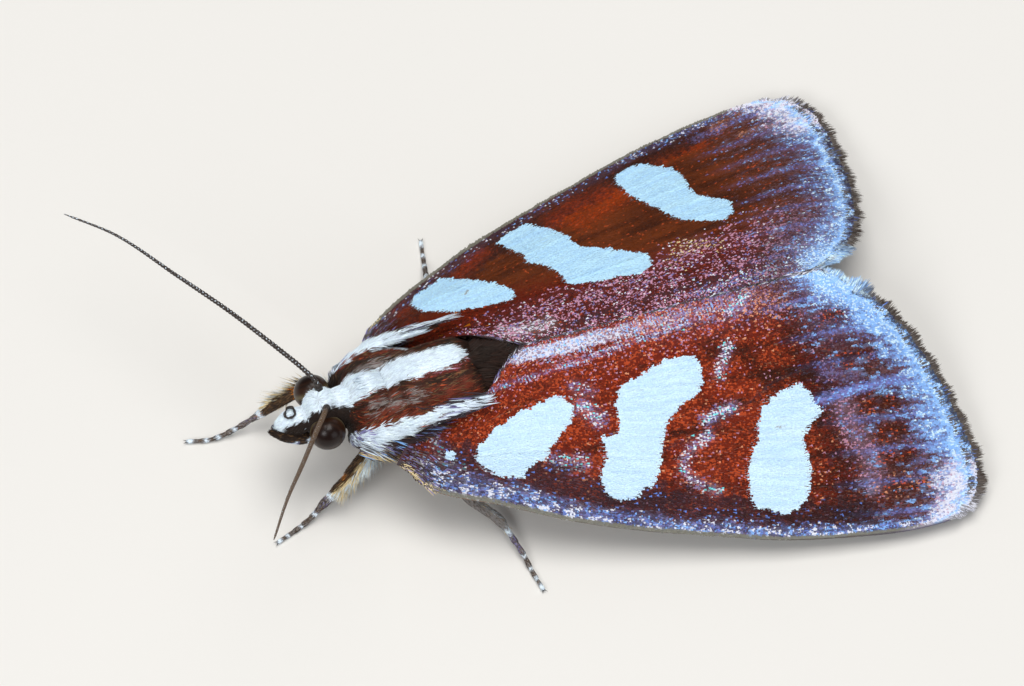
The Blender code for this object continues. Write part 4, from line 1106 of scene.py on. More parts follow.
def scale_finish(name, roughness, spread_of_gloss, coat_share):
    """Finish of scales: coloured by the mesh, each with its own gloss."""
    shop = Shop(name)
    gloss = shop.tint("Alpha")
    grain = shop.noise(26000.0, 2.0)
    colour = shop.shade(shop.tint(), 0.86 + 0.28 * grain)
    shop.set(Base_Color=colour, Roughness=roughness + spread_of_gloss * gloss, Coat_Weight=coat_share * gloss,
             Normal=shop.bump(grain, 0.25, 0.00001))
    shop.set(Coat_Roughness=0.3, Specular_IOR_Level=0.07)
    return shop.material


def fur_finish(name, roughness):
    """Finish of hairs: coloured by the mesh, soft and a little silky."""
    shop = Shop(name)
    gloss = shop.tint("Alpha")
    strands = shop.noise(15000.0, 3.0)
    colour = shop.shade(shop.tint(), 0.8 + 0.4 * strands)
    shop.set(Base_Color=colour, Roughness=roughness - 0.2 * gloss, Normal=shop.bump(strands, 0.3, 0.00001))
    shop.set(Sheen_Weight=0.06, Sheen_Roughness=0.4, Specular_IOR_Level=0.24)
    return shop.material


def skin_finish(name, roughness, scale, depth):
    """Finish of skin under the coat: the same markings, finely pitted where the hairs root."""
    shop = Shop(name)
    pits = shop.node("ShaderNodeTexVoronoi", {"feature": "F1"},
                     {"Vector": shop.coordinates(), "Scale": scale})
    broad = shop.noise(900.0, 4.0)
    colour = shop.shade(shop.tint(), 0.6 + 0.35 * pits + 0.3 * broad)
    shop.set(Base_Color=colour, Roughness=roughness + 0.2 * broad, Normal=shop.bump(pits, 0.5, depth))
    return shop.material


def eye_finish():
    """Finish of the eyes: tiny six-sided lenses under a clear, glossy cover."""
    shop = Shop("eye_lenses")
    lenses = shop.node("ShaderNodeTexVoronoi", {"feature": "F1", "distance": "EUCLIDEAN"},
                       {"Vector": shop.coordinates(), "Scale": 36000.0, "Randomness": 0.35})
    cloudy = shop.noise(1400.0, 2.0)
    colour = shop.shade(shop.tint(), 0.7 + 0.5 * cloudy + 0.3 * lenses)
    shop.set(Base_Color=colour, Roughness=0.26 + 0.1 * cloudy, Coat_Weight=0.1 + 0.08 * lenses,
             Normal=shop.bump(1.0 - lenses, 0.35, 0.000006))
    shop.set(Coat_Roughness=0.12, Specular_IOR_Level=0.2)
    return shop.material


def floor_finish():
    """Plain pale floor with the faintest mottling."""
    shop = Shop("pale_floor")
    cloudy = shop.noise(40.0, 3.0)
    pale = bpy.context.scene.moth_colours.floor[:]
    shop.set(Base_Color=shop.shade(pale, 0.985 + 0.03 * cloudy), Roughness=0.62 + 0.1 * cloudy,
             Normal=shop.bump(shop.noise(5000.0), 0.04, 0.00004))
    shop.set(Specular_IOR_Level=0.25)
    return shop.material


# Body

def ball(centre, half, power=2.0, around=48, rings=32):
    """A rounded body as a bmesh, fuller for a power above 2."""
    shape = bmesh.new()
    bmesh.ops.create_uvsphere(shape, u_segments=around, v_segments=rings, radius=1.0)
    corners = corners_of(shape)
    length = (np.abs(corners) ** power).sum(axis=1, keepdims=True) ** (1.0 / power)
    move_corners(shape, np.array(centre) + np.array(half) * corners / length)
    return shape


def thorax_form(inset):
    """The deep middle body; its back falls away under the crest."""
    shape = ball((0, 0, 0), (1, 1, 1))
    unit_corners = corners_of(shape)[:, [0, 2, 1]]
    power = THORAX_CROSS_POWER
    cross = np.maximum(np.abs(unit_corners[:, 0]) ** power + np.abs(unit_corners[:, 2]) ** power, 1e-9)
    cross = cross ** (1.0 / power)
    reach = np.minimum(np.abs(unit_corners[:, 1]), 1.0)
    girth = (1.0 - reach ** THORAX_LONG_POWER) ** (1.0 / THORAX_LONG_POWER)
    half = [part - inset for part in THORAX_HALF]
    y = THORAX_CENTRE[1] + half[1] * unit_corners[:, 1]
    z = half[2] * girth * unit_corners[:, 2] / cross
    drop = THORAX_BACK_DROP * smoothstep(THORAX_BACK_FROM, THORAX_BACK_TO, y)
    z = np.where(z > 0.0, z - z / half[2] * drop, z)
    x = half[0] * girth * unit_corners[:, 0] / cross
    move_corners(shape, np.column_stack((x, y, THORAX_CENTRE[2] + z)))
    return shape


def tegula_form(side):
    """A long shoulder flap over the wing root."""
    shape = ball((0, 0, 0), (1, 1, 1), around=24, rings=24)
    unit_corners = corners_of(shape)[:, [0, 2, 1]]
    share = 0.5 + 0.5 * unit_corners[:, 1]
    centre = path_at(TEGULA_PATH, share)
    outward = unit(centre * np.array([1.0, 0.0, 1.0]) - np.array([0.0, 0.0, THORAX_CENTRE[2]]))
    across = unit(np.cross(outward, np.array([0.0, 1.0, 0.0])))
    fullness = (1.0 - 0.25 * share)[:, None]
    body = (centre + across * unit_corners[:, :1] * TEGULA_WIDTH * fullness
            + outward * unit_corners[:, 2:] * TEGULA_THICK)
    body[:, 0] *= side
    move_corners(shape, body)
    return shape


def abdomen_form(inset):
    """Ringed abdomen, resting on the floor."""
    shape = ball((0, 0, 0), (1, 1, 1), around=48, rings=120)
    unit_corners = corners_of(shape)[:, [0, 2, 1]]
    share = np.arccos(np.clip(-unit_corners[:, 1], -1.0, 1.0)) / math.pi
    first = ABDOMEN_AXIS[0][0] + inset
    y = first + (ABDOMEN_AXIS[-1][0] - inset - first) * share
    ring = np.maximum(np.hypot(unit_corners[:, 0], unit_corners[:, 2]), 1e-9)
    phase = share * ABDOMEN_RINGS % 1.0
    girth = table_at(ABDOMEN_GIRTH, y) - inset
    girth = girth * (1.0 + 0.06 * (smoothstep(0.0, 0.85, phase) - smoothstep(0.85, 1.0, phase)))
    girth = girth * np.minimum(1.0, 14.0 * np.minimum(share, 1.0 - share)) ** 0.5
    x = girth * unit_corners[:, 0] / ring
    z = table_at(ABDOMEN_AXIS, y) + girth * unit_corners[:, 2] / ring
    move_corners(shape, np.column_stack((x, y, np.maximum(z, 0.06))))
    return shape


def joined(name, shapes):
    """One mesh from several closed shapes."""
    mesh = bpy.data.meshes.new(name)
    whole = bmesh.new()
    for shape in shapes:
        bmesh.ops.recalc_face_normals(shape, faces=shape.faces)
        part = bpy.data.meshes.new("part")
        shape.to_mesh(part)
        shape.free()
        whole.from_mesh(part)
        bpy.data.meshes.remove(part)
    whole.to_mesh(mesh)
    whole.free()
    return mesh


def fused(name, shapes, voxel, rounds):
    """One seamless skin grown from several closed shapes."""
    piece = bpy.data.objects.new(name, joined(name, shapes))
    bpy.context.scene.collection.objects.link(piece)
    remesh = piece.modifiers.new("fuse", "REMESH")
    remesh.mode = "VOXEL"
    remesh.voxel_size = voxel
    graph = bpy.context.evaluated_depsgraph_get()
    mesh = bpy.data.meshes.new_from_object(piece.evaluated_get(graph))
    bpy.data.objects.remove(piece, do_unlink=True)
    shape = bmesh.new()
    shape.from_mesh(mesh)
    for _ in range(rounds):
        bmesh.ops.smooth_vert(shape, verts=shape.verts, factor=0.5, use_axis_x=True, use_axis_y=True,
                              use_axis_z=True)
    bmesh.ops.triangulate(shape, faces=shape.faces)
    shape.to_mesh(mesh)
    shape.free()
    mesh.name = name
    return mesh


def body_tint(places, seed=None):
    """Colours of head, back and abdomen at many places."""
    x, y, z = places.T
    side = np.abs(x)
    fine = cloud(places, 0.13, 61)
    middle = cloud(places, 0.5, 62)
    streak = cloud(places * np.array([4.0, 0.9, 4.0]), 0.6, 63)
    marks = Marker(len(places), "soot", seed)

    # back: brown and red-brown hair, with grey tufts beside the white stripe
    back = smoothstep(-13.2, -12.7, y) * smoothstep(3.8, 4.8, z) * smoothstep(-7.0, -7.9, y)
    rusty = np.where(x > 0.0, 0.24 + 0.3 * bump(1.5, 0.5, side), 0.06 + 0.34 * bump(1.75, 0.25, side))
    marks.lay("bark", back * (rusty + 0.9 * (streak - 0.45)), 0.4)
    marks.lay("ember", back * 0.1 * rusty, 0.7)
    marks.lay("tan", back * 0.16 * (fine + 0.3), 0.7)
    edge = straight(STRIPE_MIDDLE, y) + straight(STRIPE_HALF, y)
    marks.lay("wine", back * 0.36 * bump(0.1, 0.12, x - edge) * smoothstep(-10.6, -9.6, y), 0.8)
    marks.lay("rose", back * 0.2 * bump(0.06, 0.08, x - edge) * smoothstep(-10.6, -9.6, y), 0.9)
    grey = bump(1.04, 0.24, side + 0.3 * (middle - 0.5))
    grey = grey * smoothstep(-12.8, -12.2, y) * smoothstep(-9.6, -10.4, y)
    marks.lay("smoke", back * grey * smoothstep(0.3, 0.6, streak) * 0.7, 0.6)

    # breast: cream and orange hair among black
    below = smoothstep(4.4, 3.4, z) * smoothstep(-13.6, -12.6, y) * smoothstep(-5.0, -6.0, y)
    marks.lay("cream", below * (0.3 + 0.7 * (middle - 0.5)), 0.5)
    marks.lay("orange", below * 0.14, 0.6)

    # white stripe from the front of the head to the end of the back
    half = straight(STRIPE_HALF, y)
    off = np.abs(x - straight(STRIPE_MIDDLE, y)) - half + 0.24 * (fine - 0.5)
    marks.lay("snow", smoothstep(4.4, 4.7, z) * smoothstep(0.05, -0.05, off), 0.6)

    # white shoulder flaps
    left = np.abs(side - straight(FLAP_MIDDLE_LEFT, y)) - straight(FLAP_HALF_LEFT, y)
    other = np.abs(side - straight(FLAP_MIDDLE_RIGHT, y)) - straight(FLAP_HALF_RIGHT, y)
    off = np.where(x > 0.0, left, other) + 0.26 * (fine - 0.5)
    lowest = straight(FLAP_LOWEST, y) + 0.3 * (fine - 0.5) - 0.7 * (x < 0.0)
    white = smoothstep(0.05, -0.05, off) * smoothstep(-0.1, 0.1, z - lowest) * smoothstep(-13.7, -13.4, y)
    marks.lay("snow", white, 0.6)
    marks.lay("lilac", 0.3 * white * smoothstep(-12.2, -12.9, y), 0.85)
    marks.lay("soot", 0.25 * white * smoothstep(-12.4, -13.0, y), 0.85)

    # abdomen: orange rings on dark ones
    tail = smoothstep(-4.0, -3.0, y)
    first, last = ABDOMEN_AXIS[0][0], ABDOMEN_AXIS[-1][0]
    share = (y - first) / (last - first) * ABDOMEN_RINGS % 1.0
    ring = smoothstep(0.22, 0.34, share) * smoothstep(0.98, 0.9, share)
    marks.lay("orange", tail * (0.15 + 0.8 * ring))
    marks.lay("soot", tail * 0.6 * bump(0.0, 0.25, x) * (z > 2.0))
    return marks.vary(0.14).tint


def body_unwrap(places):
    """Place on the body's skin rolled out: turn about its length, then distance along it."""
    x, y, z = places.T
    turn = np.arctan2(x, z - np.interp(y, (-16.0, -8.0, 0.0), (5.0, 4.4, 1.6))) / (2.0 * math.pi) + 0.5
    return np.column_stack((turn * UNWRAP_SHARE + UNWRAP_START, (y + 17.0) / 26.0))


def surface_sample(mesh, count, seed, weight=None):
    """Evenly spread places on a triangle mesh, with the normal at each."""
    corner = read(mesh.vertices, "co").astype(float)
    faces = read(mesh.polygons, "vertices", np.int32)
    normals = read(mesh.vertex_normals, "vector").astype(float)
    a, b, c = (corner[faces[:, index]] for index in range(3))
    area = np.linalg.norm(np.cross(b - a, c - a), axis=1)
    if weight is not None:
        area = area * weight((a + b + c) / 3.0)
    rng = np.random.default_rng(seed)
    chosen = rng.choice(len(faces), count, p=area / area.sum())
    first = rng.random(count)
    second = rng.random(count)
    over = first + second > 1.0
    first = np.where(over, 1.0 - first, first)[:, None]
    second = np.where(over, 1.0 - second, second)[:, None]
    third = 1.0 - first - second
    pick = faces[chosen]
    places = corner[pick[:, 0]] * third + corner[pick[:, 1]] * first + corner[pick[:, 2]] * second
    up = unit(normals[pick[:, 0]] * third + normals[pick[:, 1]] * first + normals[pick[:, 2]] * second)
    return places, up


def combed(ups, direction, tangle, places, seed):
    """Headings that lie along the skin in one direction, a little tangled in tufts."""
    rng = np.random.default_rng(seed)
    tufts = np.column_stack([cloud(places, 0.35, seed + axis) - 0.5 for axis in range(3)])
    wanted = unit(np.asarray(direction, float)) + tufts * tangle * 2.0
    wanted = wanted + rng.normal(0.0, tangle * 0.3, wanted.shape)
    return wanted - ups * np.sum(wanted * ups, axis=1, keepdims=True)


# Limbs

def carried_frames(path, count):
    """Middles of a smooth path with a frame carried along it without twisting."""
    middles = path_at(path, np.linspace(0.0, 1.0, count))
    ahead = unit(np.gradient(middles, axis=0))
    up = np.array([0.0, 0.0, 1.0])
    up = unit(up - ahead[0] * ahead[0].dot(up))
    ups = []
    for direction in ahead:
        up = unit(up - direction * direction.dot(up))
        ups.append(up)
    ups = np.array(ups)
    return middles, ahead, ups, np.cross(ahead, ups)


def limb(name, path, radius_of, around, rings, material, tint_of):
    """A closed round limb along a path; radius and colour follow the share of its length."""
    shape = bmesh.new()
    bmesh.ops.create_cone(shape, cap_ends=True, cap_tris=True, segments=around, radius1=1.0, radius2=1.0,
                          depth=1.0)
    long = [edge for edge in shape.edges if abs(edge.verts[0].co.z - edge.verts[1].co.z) > 0.5]
    bmesh.ops.subdivide_edges(shape, edges=long, cuts=rings - 1, use_grid_fill=False)
    corners = corners_of(shape)
    share = corners[:, 2] + 0.5
    index = np.clip(np.rint(share * rings).astype(int), 0, rings)
    middles, _, ups, sides = carried_frames(path, rings + 1)
    turn = np.arctan2(corners[:, 1], corners[:, 0])
    radius = radius_of(share) * np.minimum(np.hypot(corners[:, 0], corners[:, 1]), 1.0)
    body = (middles[index] + sides[index] * (radius * np.cos(turn))[:, None]
            + ups[index] * (radius * np.sin(turn))[:, None])
    move_corners(shape, body)
    bmesh.ops.recalc_face_normals(shape, faces=shape.faces)
    piece = to_object(name, shape, material)
    give_tint(piece.data, tint_of(share, turn))
    return piece


def limb_places(path, radius_of, count, rings, seed):
    """Places on a limb with their share, turn, upward direction and heading along it."""
    rng = np.random.default_rng(seed)
    share = rng.uniform(0.0, 1.0, count)
    turn = rng.uniform(-math.pi, math.pi, count)
    middles, ahead, ups, sides = carried_frames(path, rings + 1)
    index = np.clip((share * rings).astype(int), 0, rings - 1)
    part = (share * rings - index)[:, None]
    middle = middles[index] * (1 - part) + middles[index + 1] * part
    outward = sides[index] * np.cos(turn)[:, None] + ups[index] * np.sin(turn)[:, None]
    return middle + outward * radius_of(share)[:, None], outward, ahead[index], share, turn


def limb_unwrap(share, turn, start=0.5):
    """Place on a limb's skin rolled out."""
    return np.column_stack((turn / UNWRAP_TURN + start, share * UNWRAP_SHARE + UNWRAP_START))


def leg_radius(share):
    """Radius of a leg: stout thigh, thinner shin, five small foot joints."""
    radius = np.interp(share, *LEG_RADII)
    joint = (share - FOOT_START) / (1.0 - FOOT_START) * FOOT_JOINTS % 1.0
    swell = 0.78 + 0.3 * smoothstep(0.0, 0.8, joint) - 0.3 * smoothstep(0.88, 1.0, joint)
    swell = np.where(share > FOOT_START, swell, 1.0)
    return radius * swell


def leg_tint(share, turn, name, seed=None):
    """Colours of a leg: cream outside and black inside down to the knee, then grey with white marks."""
    knee, *joints = LEG_MARKS.get(name, USUAL_LEG_MARKS)
    front = name.startswith("fore")
    marks = Marker(len(share), "soot", seed)
    patch = cloud(np.column_stack((share * 11.0, np.cos(turn), np.sin(turn))), 0.8, 71)
    outside = np.cos(turn) * (1.0 if name.endswith("r") else -1.0) + 0.9 * (patch - 0.5)
    upper = smoothstep(knee, knee - 0.04, share)
    marks.lay("tan", 0.3 * upper, 0.7)
    marks.lay("cream", upper * smoothstep(-0.1, 0.3, outside) * (0.85 if front else 0.3), 0.5)
    whiter = 0.42 + 0.4 * smoothstep(0.4, 0.2, share)
    marks.lay("snow", upper * whiter * smoothstep(0.0, 0.5, outside), 0.8)
    marks.lay("smoke", upper * (0.0 if front else 0.7), 0.6)
    orange = bump(knee, 0.016, share) + 0.7 * bump(0.35, 0.018, share)
    marks.lay("orange", 0.7 * orange * smoothstep(0.1, -0.4, outside) * front, 0.6)
    lower = smoothstep(knee - 0.02, knee + 0.02, share)
    marks.lay("tan", 0.22 * lower, 0.7)
    marks.lay("smoke", 0.26 * lower, 0.7)
    shin = lower * smoothstep(joints[0], joints[0] - 0.05, share)
    marks.lay("lilac", (0.07 if front else 0.24) * shin, 0.7)
    bands = np.max([bump(joint, 0.011, share + 0.012 * (patch - 0.5)) for joint in joints], axis=0)
    bands = np.maximum(bands * (0.6 + 0.7 * (patch - 0.3)), bump(knee, 0.018, share + 0.02 * (patch - 0.5)))
    marks.lay("snow", np.maximum(bands, bump(0.985, 0.016, share)), 0.5)
    return marks.vary(0.2).tint


# Operators

class MOTH_OT_stage(bpy.types.Operator):
    """Make the floor, the lights and the camera"""

    bl_idname = "moth.stage"
    bl_label = "Stage"

    def execute(self, context):
        shape = bmesh.new()
        bmesh.ops.create_grid(shape, x_segments=8, y_segments=8, size=FLOOR_HALF)
        floor = to_object("floor", shape, floor_finish())
        for name, (spot, target, size, power, colour) in LAMPS.items():
            lamp = bpy.data.lights.new(name, "AREA")
            lamp.energy = power
            lamp.size = size
            lamp.color = colour
            holder = bpy.data.objects.new(name, lamp)
            holder.location = spot
            holder.rotation_euler = (Vector(spot) - Vector(target)).to_track_quat("Z", "Y").to_euler()
            context.scene.collection.objects.link(holder)
        world = bpy.data.worlds.new("studio")
        world.use_nodes = True
        sky = world.node_tree.nodes["Background"].inputs
        sky["Color"].default_value = WORLD_COLOUR
        sky["Strength"].default_value = WORLD_STRENGTH
        context.scene.world = world
        context.scene.view_settings.view_transform = "Standard"
        eye = bpy.data.cameras.new("photo_view")
        eye.sensor_width = SENSOR_WIDTH
        eye.lens = PHOTO_FOCAL / PHOTO_WIDTH * SENSOR_WIDTH
        eye.clip_start = 0.01
        eye.clip_end = 10.0
        camera = bpy.data.objects.new("photo_view", eye)
        camera.matrix_world = Matrix.Translation(CAMERA_PLACE) @ Matrix(CAMERA_TURN).to_4x4()
        context.scene.collection.objects.link(camera)
        context.scene.camera = camera
        return {"FINISHED"}


class MOTH_OT_forewings(bpy.types.Operator):
    """Make the forewings with their scales on both faces"""

    bl_idname = "moth.forewings"
    bl_label = "Forewings"

    def execute(self, context):
        size = sizes()
        skin = skin_finish("wing_membrane", 0.5, 9000.0, 0.00001)
        scales = scale_finish("wing_scale", 0.45, 0.24, 0.03)
        for right, tag in WINGS:
            piece = wing_skin(f"forewing_{tag}_skin", forewing_surface, forewing_tint, underside_tint, right,
                              skin, size["membrane"], (150, 90), MEMBRANE_END)
            finish(piece, "wing_scales", f"forewing_{tag}")
            wing_scales(f"forewing_{tag}_scales", forewing_surface, FORE_EDGES, forewing_tint, right, False,
                        scales, "wing_scales", size["scale_step"], size["scale_length"],
                        size["scale_width"], MEMBRANE_END, size["membrane"], 200 + right)
            wing_scales(f"forewing_{tag}_underscales", forewing_surface, FORE_EDGES, underside_tint, right,
                        True, scales, "wing_scales", size["under_step"], 2.0 * size["scale_length"],
                        2.0 * size["scale_width"], MEMBRANE_END, size["membrane"], 210 + right)
        return {"FINISHED"}


class MOTH_OT_hindwings(bpy.types.Operator):
    """Make the folded hindwings with their scales"""

    bl_idname = "moth.hindwings"
    bl_label = "Hindwings"

    def execute(self, context):
        size = sizes()
        skin = skin_finish("hindwing_membrane", 0.55, 9000.0, 0.00001)
        scales = scale_finish("hindwing_scale", 0.4, 0.24, 0.3)
        for right, tag in WINGS:
            piece = wing_skin(f"hindwing_{tag}_skin", hindwing_surface, hindwing_tint, hindwing_tint, right,
                              skin, size["membrane"], (70, 40), 0.99)
            finish(piece, "hindwing_scales", f"hindwing_{tag}")
            for under, face in ((False, "scales"), (True, "underscales")):
                wing_scales(f"hindwing_{tag}_{face}", hindwing_surface, HIND_EDGES, hindwing_tint, right,
                            under, scales, "hindwing_scales", size["under_step"] * 0.9,
                            1.8 * size["scale_length"], 1.8 * size["scale_width"], 0.99, size["membrane"],
                            220 + right + 2 * under)
        return {"FINISHED"}


class MOTH_OT_fringes(bpy.types.Operator):
    """Make the fringes of the forewings, the hair along the ridge and the blades at their roots"""

    bl_idname = "moth.fringes"
    bl_label = "Fringes"

    def execute(self, context):
        hair = fur_finish("fringe_hair", 0.7)
        for right, tag in WINGS:
            self.outer(right, tag, hair)
            self.ridge(right, tag, hair)
            self.blades(right, tag, hair)
        return {"FINISHED"}

    def lay(self, name, form, u, v, roots, headings, up, lengths, widths, lift, curl, tints, right, hair,
            rng):
        """Turn hairs of the left wing to their side and join them."""
        roots, headings, up = (to_side(part, right) for part in (roots, headings, up))
        coat(name, form, roots, headings, up, lengths, widths, lift, curl, tints,
             wing_unwrap(u, v), hair, "wing_scales", thick=0.3, gloss=rng.random(len(u)))

    def outer(self, right, tag, hair):
        """Three tiers of fringe hairs along the outer edge."""
        rng = np.random.default_rng(300 + right)
        count = FRINGE_HAIRS
        v = rng.random(count)
        tier = rng.integers(0, 3, count)
        u = MEMBRANE_END - 0.002 - 0.006 * tier + rng.normal(0.0, 0.0012, count)
        along, up = directions(forewing_surface, u, v)
        ahead = unit(forewing_surface(u, np.minimum(v + 0.004, 1.0))
                     - forewing_surface(u, np.maximum(v - 0.004, 0.0)))
        outward = unit(np.cross(up, ahead))
        outward = outward * np.sign(np.sum(outward * along, axis=1, keepdims=True))
        clump = cloud(np.column_stack((v * 90.0, v)), 1.0, 8 + right) - 0.5
        turn = rng.normal(0.0, 0.07, count) + 0.5 * clump
        headings = unit(0.35 * along + 0.65 * outward) + ahead * turn[:, None]
        notch = np.abs(np.sin(v * FORE_LINES * math.pi / 2.0))
        long = sizes()["fringe"] * (0.56 + 0.24 * notch - 0.13 * tier) * rng.uniform(0.8, 1.1, count)
        long = long * np.minimum(1.0, 0.35 + 6.0 * np.minimum(v, 1.0 - v))
        marks = Marker(count, ("ash", 1.3), 310 + right)
        marks.lay("umber", 0.12 + 0.9 * clump, 0.4)
        vein_end = np.abs(np.cos(v * FORE_LINES * math.pi / 2.0)) ** 6
        marks.lay("smoke", 0.06 + 0.3 * vein_end * (tier > 0), 0.5)
        marks.lay("sky", 0.6 * (tier == 2) * (0.15 + vein_end), 0.7)
        marks.lay("azure", 0.05 * (tier > 0), 0.8)
        marks.lay("glint", 0.6 * smoothstep(0.86, 0.93, v), 0.6)
        marks.lay("sky", 0.85 * smoothstep(0.2, 0.12, v), 0.5)
        marks.lay("ice", 0.5 * smoothstep(0.2, 0.1, v), 0.7)
        roots = forewing_surface(u, v) + up * (0.02 - 0.05 * (2 - tier))[:, None]
        self.lay(f"forewing_{tag}_fringe", HAIR, u, v, roots, headings, up, long,
                 0.058 * rng.uniform(0.8, 1.3, count), rng.normal(0.02, 0.05, count), 0.06,
                 marks.vary(0.25).tint, right, hair, rng)

    def ridge(self, right, tag, hair):
        """Grey hair that lies along the inner edge and closes the ridge, partly painted shade of the seam,
        with painted glints.
        """
        rng = np.random.default_rng(320 + right)
        count = RIDGE_HAIRS
        u = rng.uniform(0.14, 0.965, count)
        v = np.abs(rng.normal(0.0, 0.012, count)) + (0.075 * u * (rng.random(count) < 0.5) if right else 0.0)
        along, up = directions(forewing_surface, u, v)
        inward = np.cross(along, up) * -1.0
        headings = along + inward * rng.normal(0.16, 0.12, count)[:, None]
        # dark grey and brown: the hair's own colour and painted shade of the seam between the wings; the
        # white hairs are painted glints
        marks = Marker(count, ("ash", 0.8), 330 + right)
        marks.lay("umber", 0.35 + 0.6 * smoothstep(0.35, 0.2, u), 0.6)
        marks.lay("lilac", 0.14 if right else 0.2, 0.8)
        marks.lay("glint", 0.12 + 0.4 * smoothstep(0.86, 0.93, u), 0.8)
        roots = forewing_surface(u, v) + up * 0.01
        self.lay(f"forewing_{tag}_ridge_hair", HAIR, u, v, roots, headings, up, rng.uniform(0.3, 0.62, count),
                 0.04, rng.uniform(0.03, 0.12, count), 0.1, marks.vary(0.2).tint, right, hair, rng)

    def blades(self, right, tag, hair):
        """Long pale and dark blades over the root of the leading edge."""
        rng = np.random.default_rng(340 + right)
        count = ROOT_BLADES
        u = rng.beta(1.2, 2.6, count) * 0.1 + 0.002
        v = 1.0 - np.abs(rng.normal(0.0, 0.22, count)).clip(0.0, 0.8) * (0.4 + 3.0 * u)
        along, up = directions(forewing_surface, u, v)
        headings = along + np.cross(along, up) * rng.normal(-0.05, 0.12, count)[:, None]
        marks = Marker(count, "soot", 350 + right)
        marks.lay("umber", 0.4, 0.6)
        marks.lay("smoke", 0.2, 0.6)
        marks.lay("lilac", 0.14 + 0.2 * smoothstep(0.9, 0.97, v), 0.8)
        marks.lay("cream", 0.4 * smoothstep(0.93, 0.98, v) * (0.25 if right else 1.0), 0.8)
        roots = forewing_surface(u, v) + up * 0.02
        self.lay(f"forewing_{tag}_root_blades", LONG_HAIR, u, v, roots, headings, up,
                 rng.uniform(0.3, 0.8, count), 0.045, rng.uniform(0.02, 0.1, count), 0.08,
                 marks.vary(0.2).tint, right, hair, rng)


class MOTH_OT_body(bpy.types.Operator):
    """Make the seamless skin of head, back and abdomen"""

    bl_idname = "moth.body"
    bl_label = "Body skin"

    def execute(self, context):
        shapes = [thorax_form(0.26), tegula_form(1.0), tegula_form(-1.0), abdomen_form(0.16)]
        shapes += [ball(centre, np.subtract(half, less), power) for centre, half, less, power in BODY_FORMS]
        mesh = fused("body_skin", shapes, BODY_VOXEL, BODY_SMOOTHING)
        if not 1000 < len(mesh.polygons) < MOST_TRIANGLES:
            raise RuntimeError(f"the body skin has {len(mesh.polygons)} triangles")
        give_tint(mesh, body_tint(read(mesh.vertices, "co").astype(float)) * 0.8)
        coated = mesh.copy()
        coated.name = "body_fur_ground"
        piece = place("body_skin", mesh, skin_finish("body_skin", 0.75, 14000.0, 0.00002))
        finish(piece, "brown_fur", "head", "collar", "thorax", "tegula_l", "tegula_r", "crest", "abdomen")
        return {"FINISHED"}


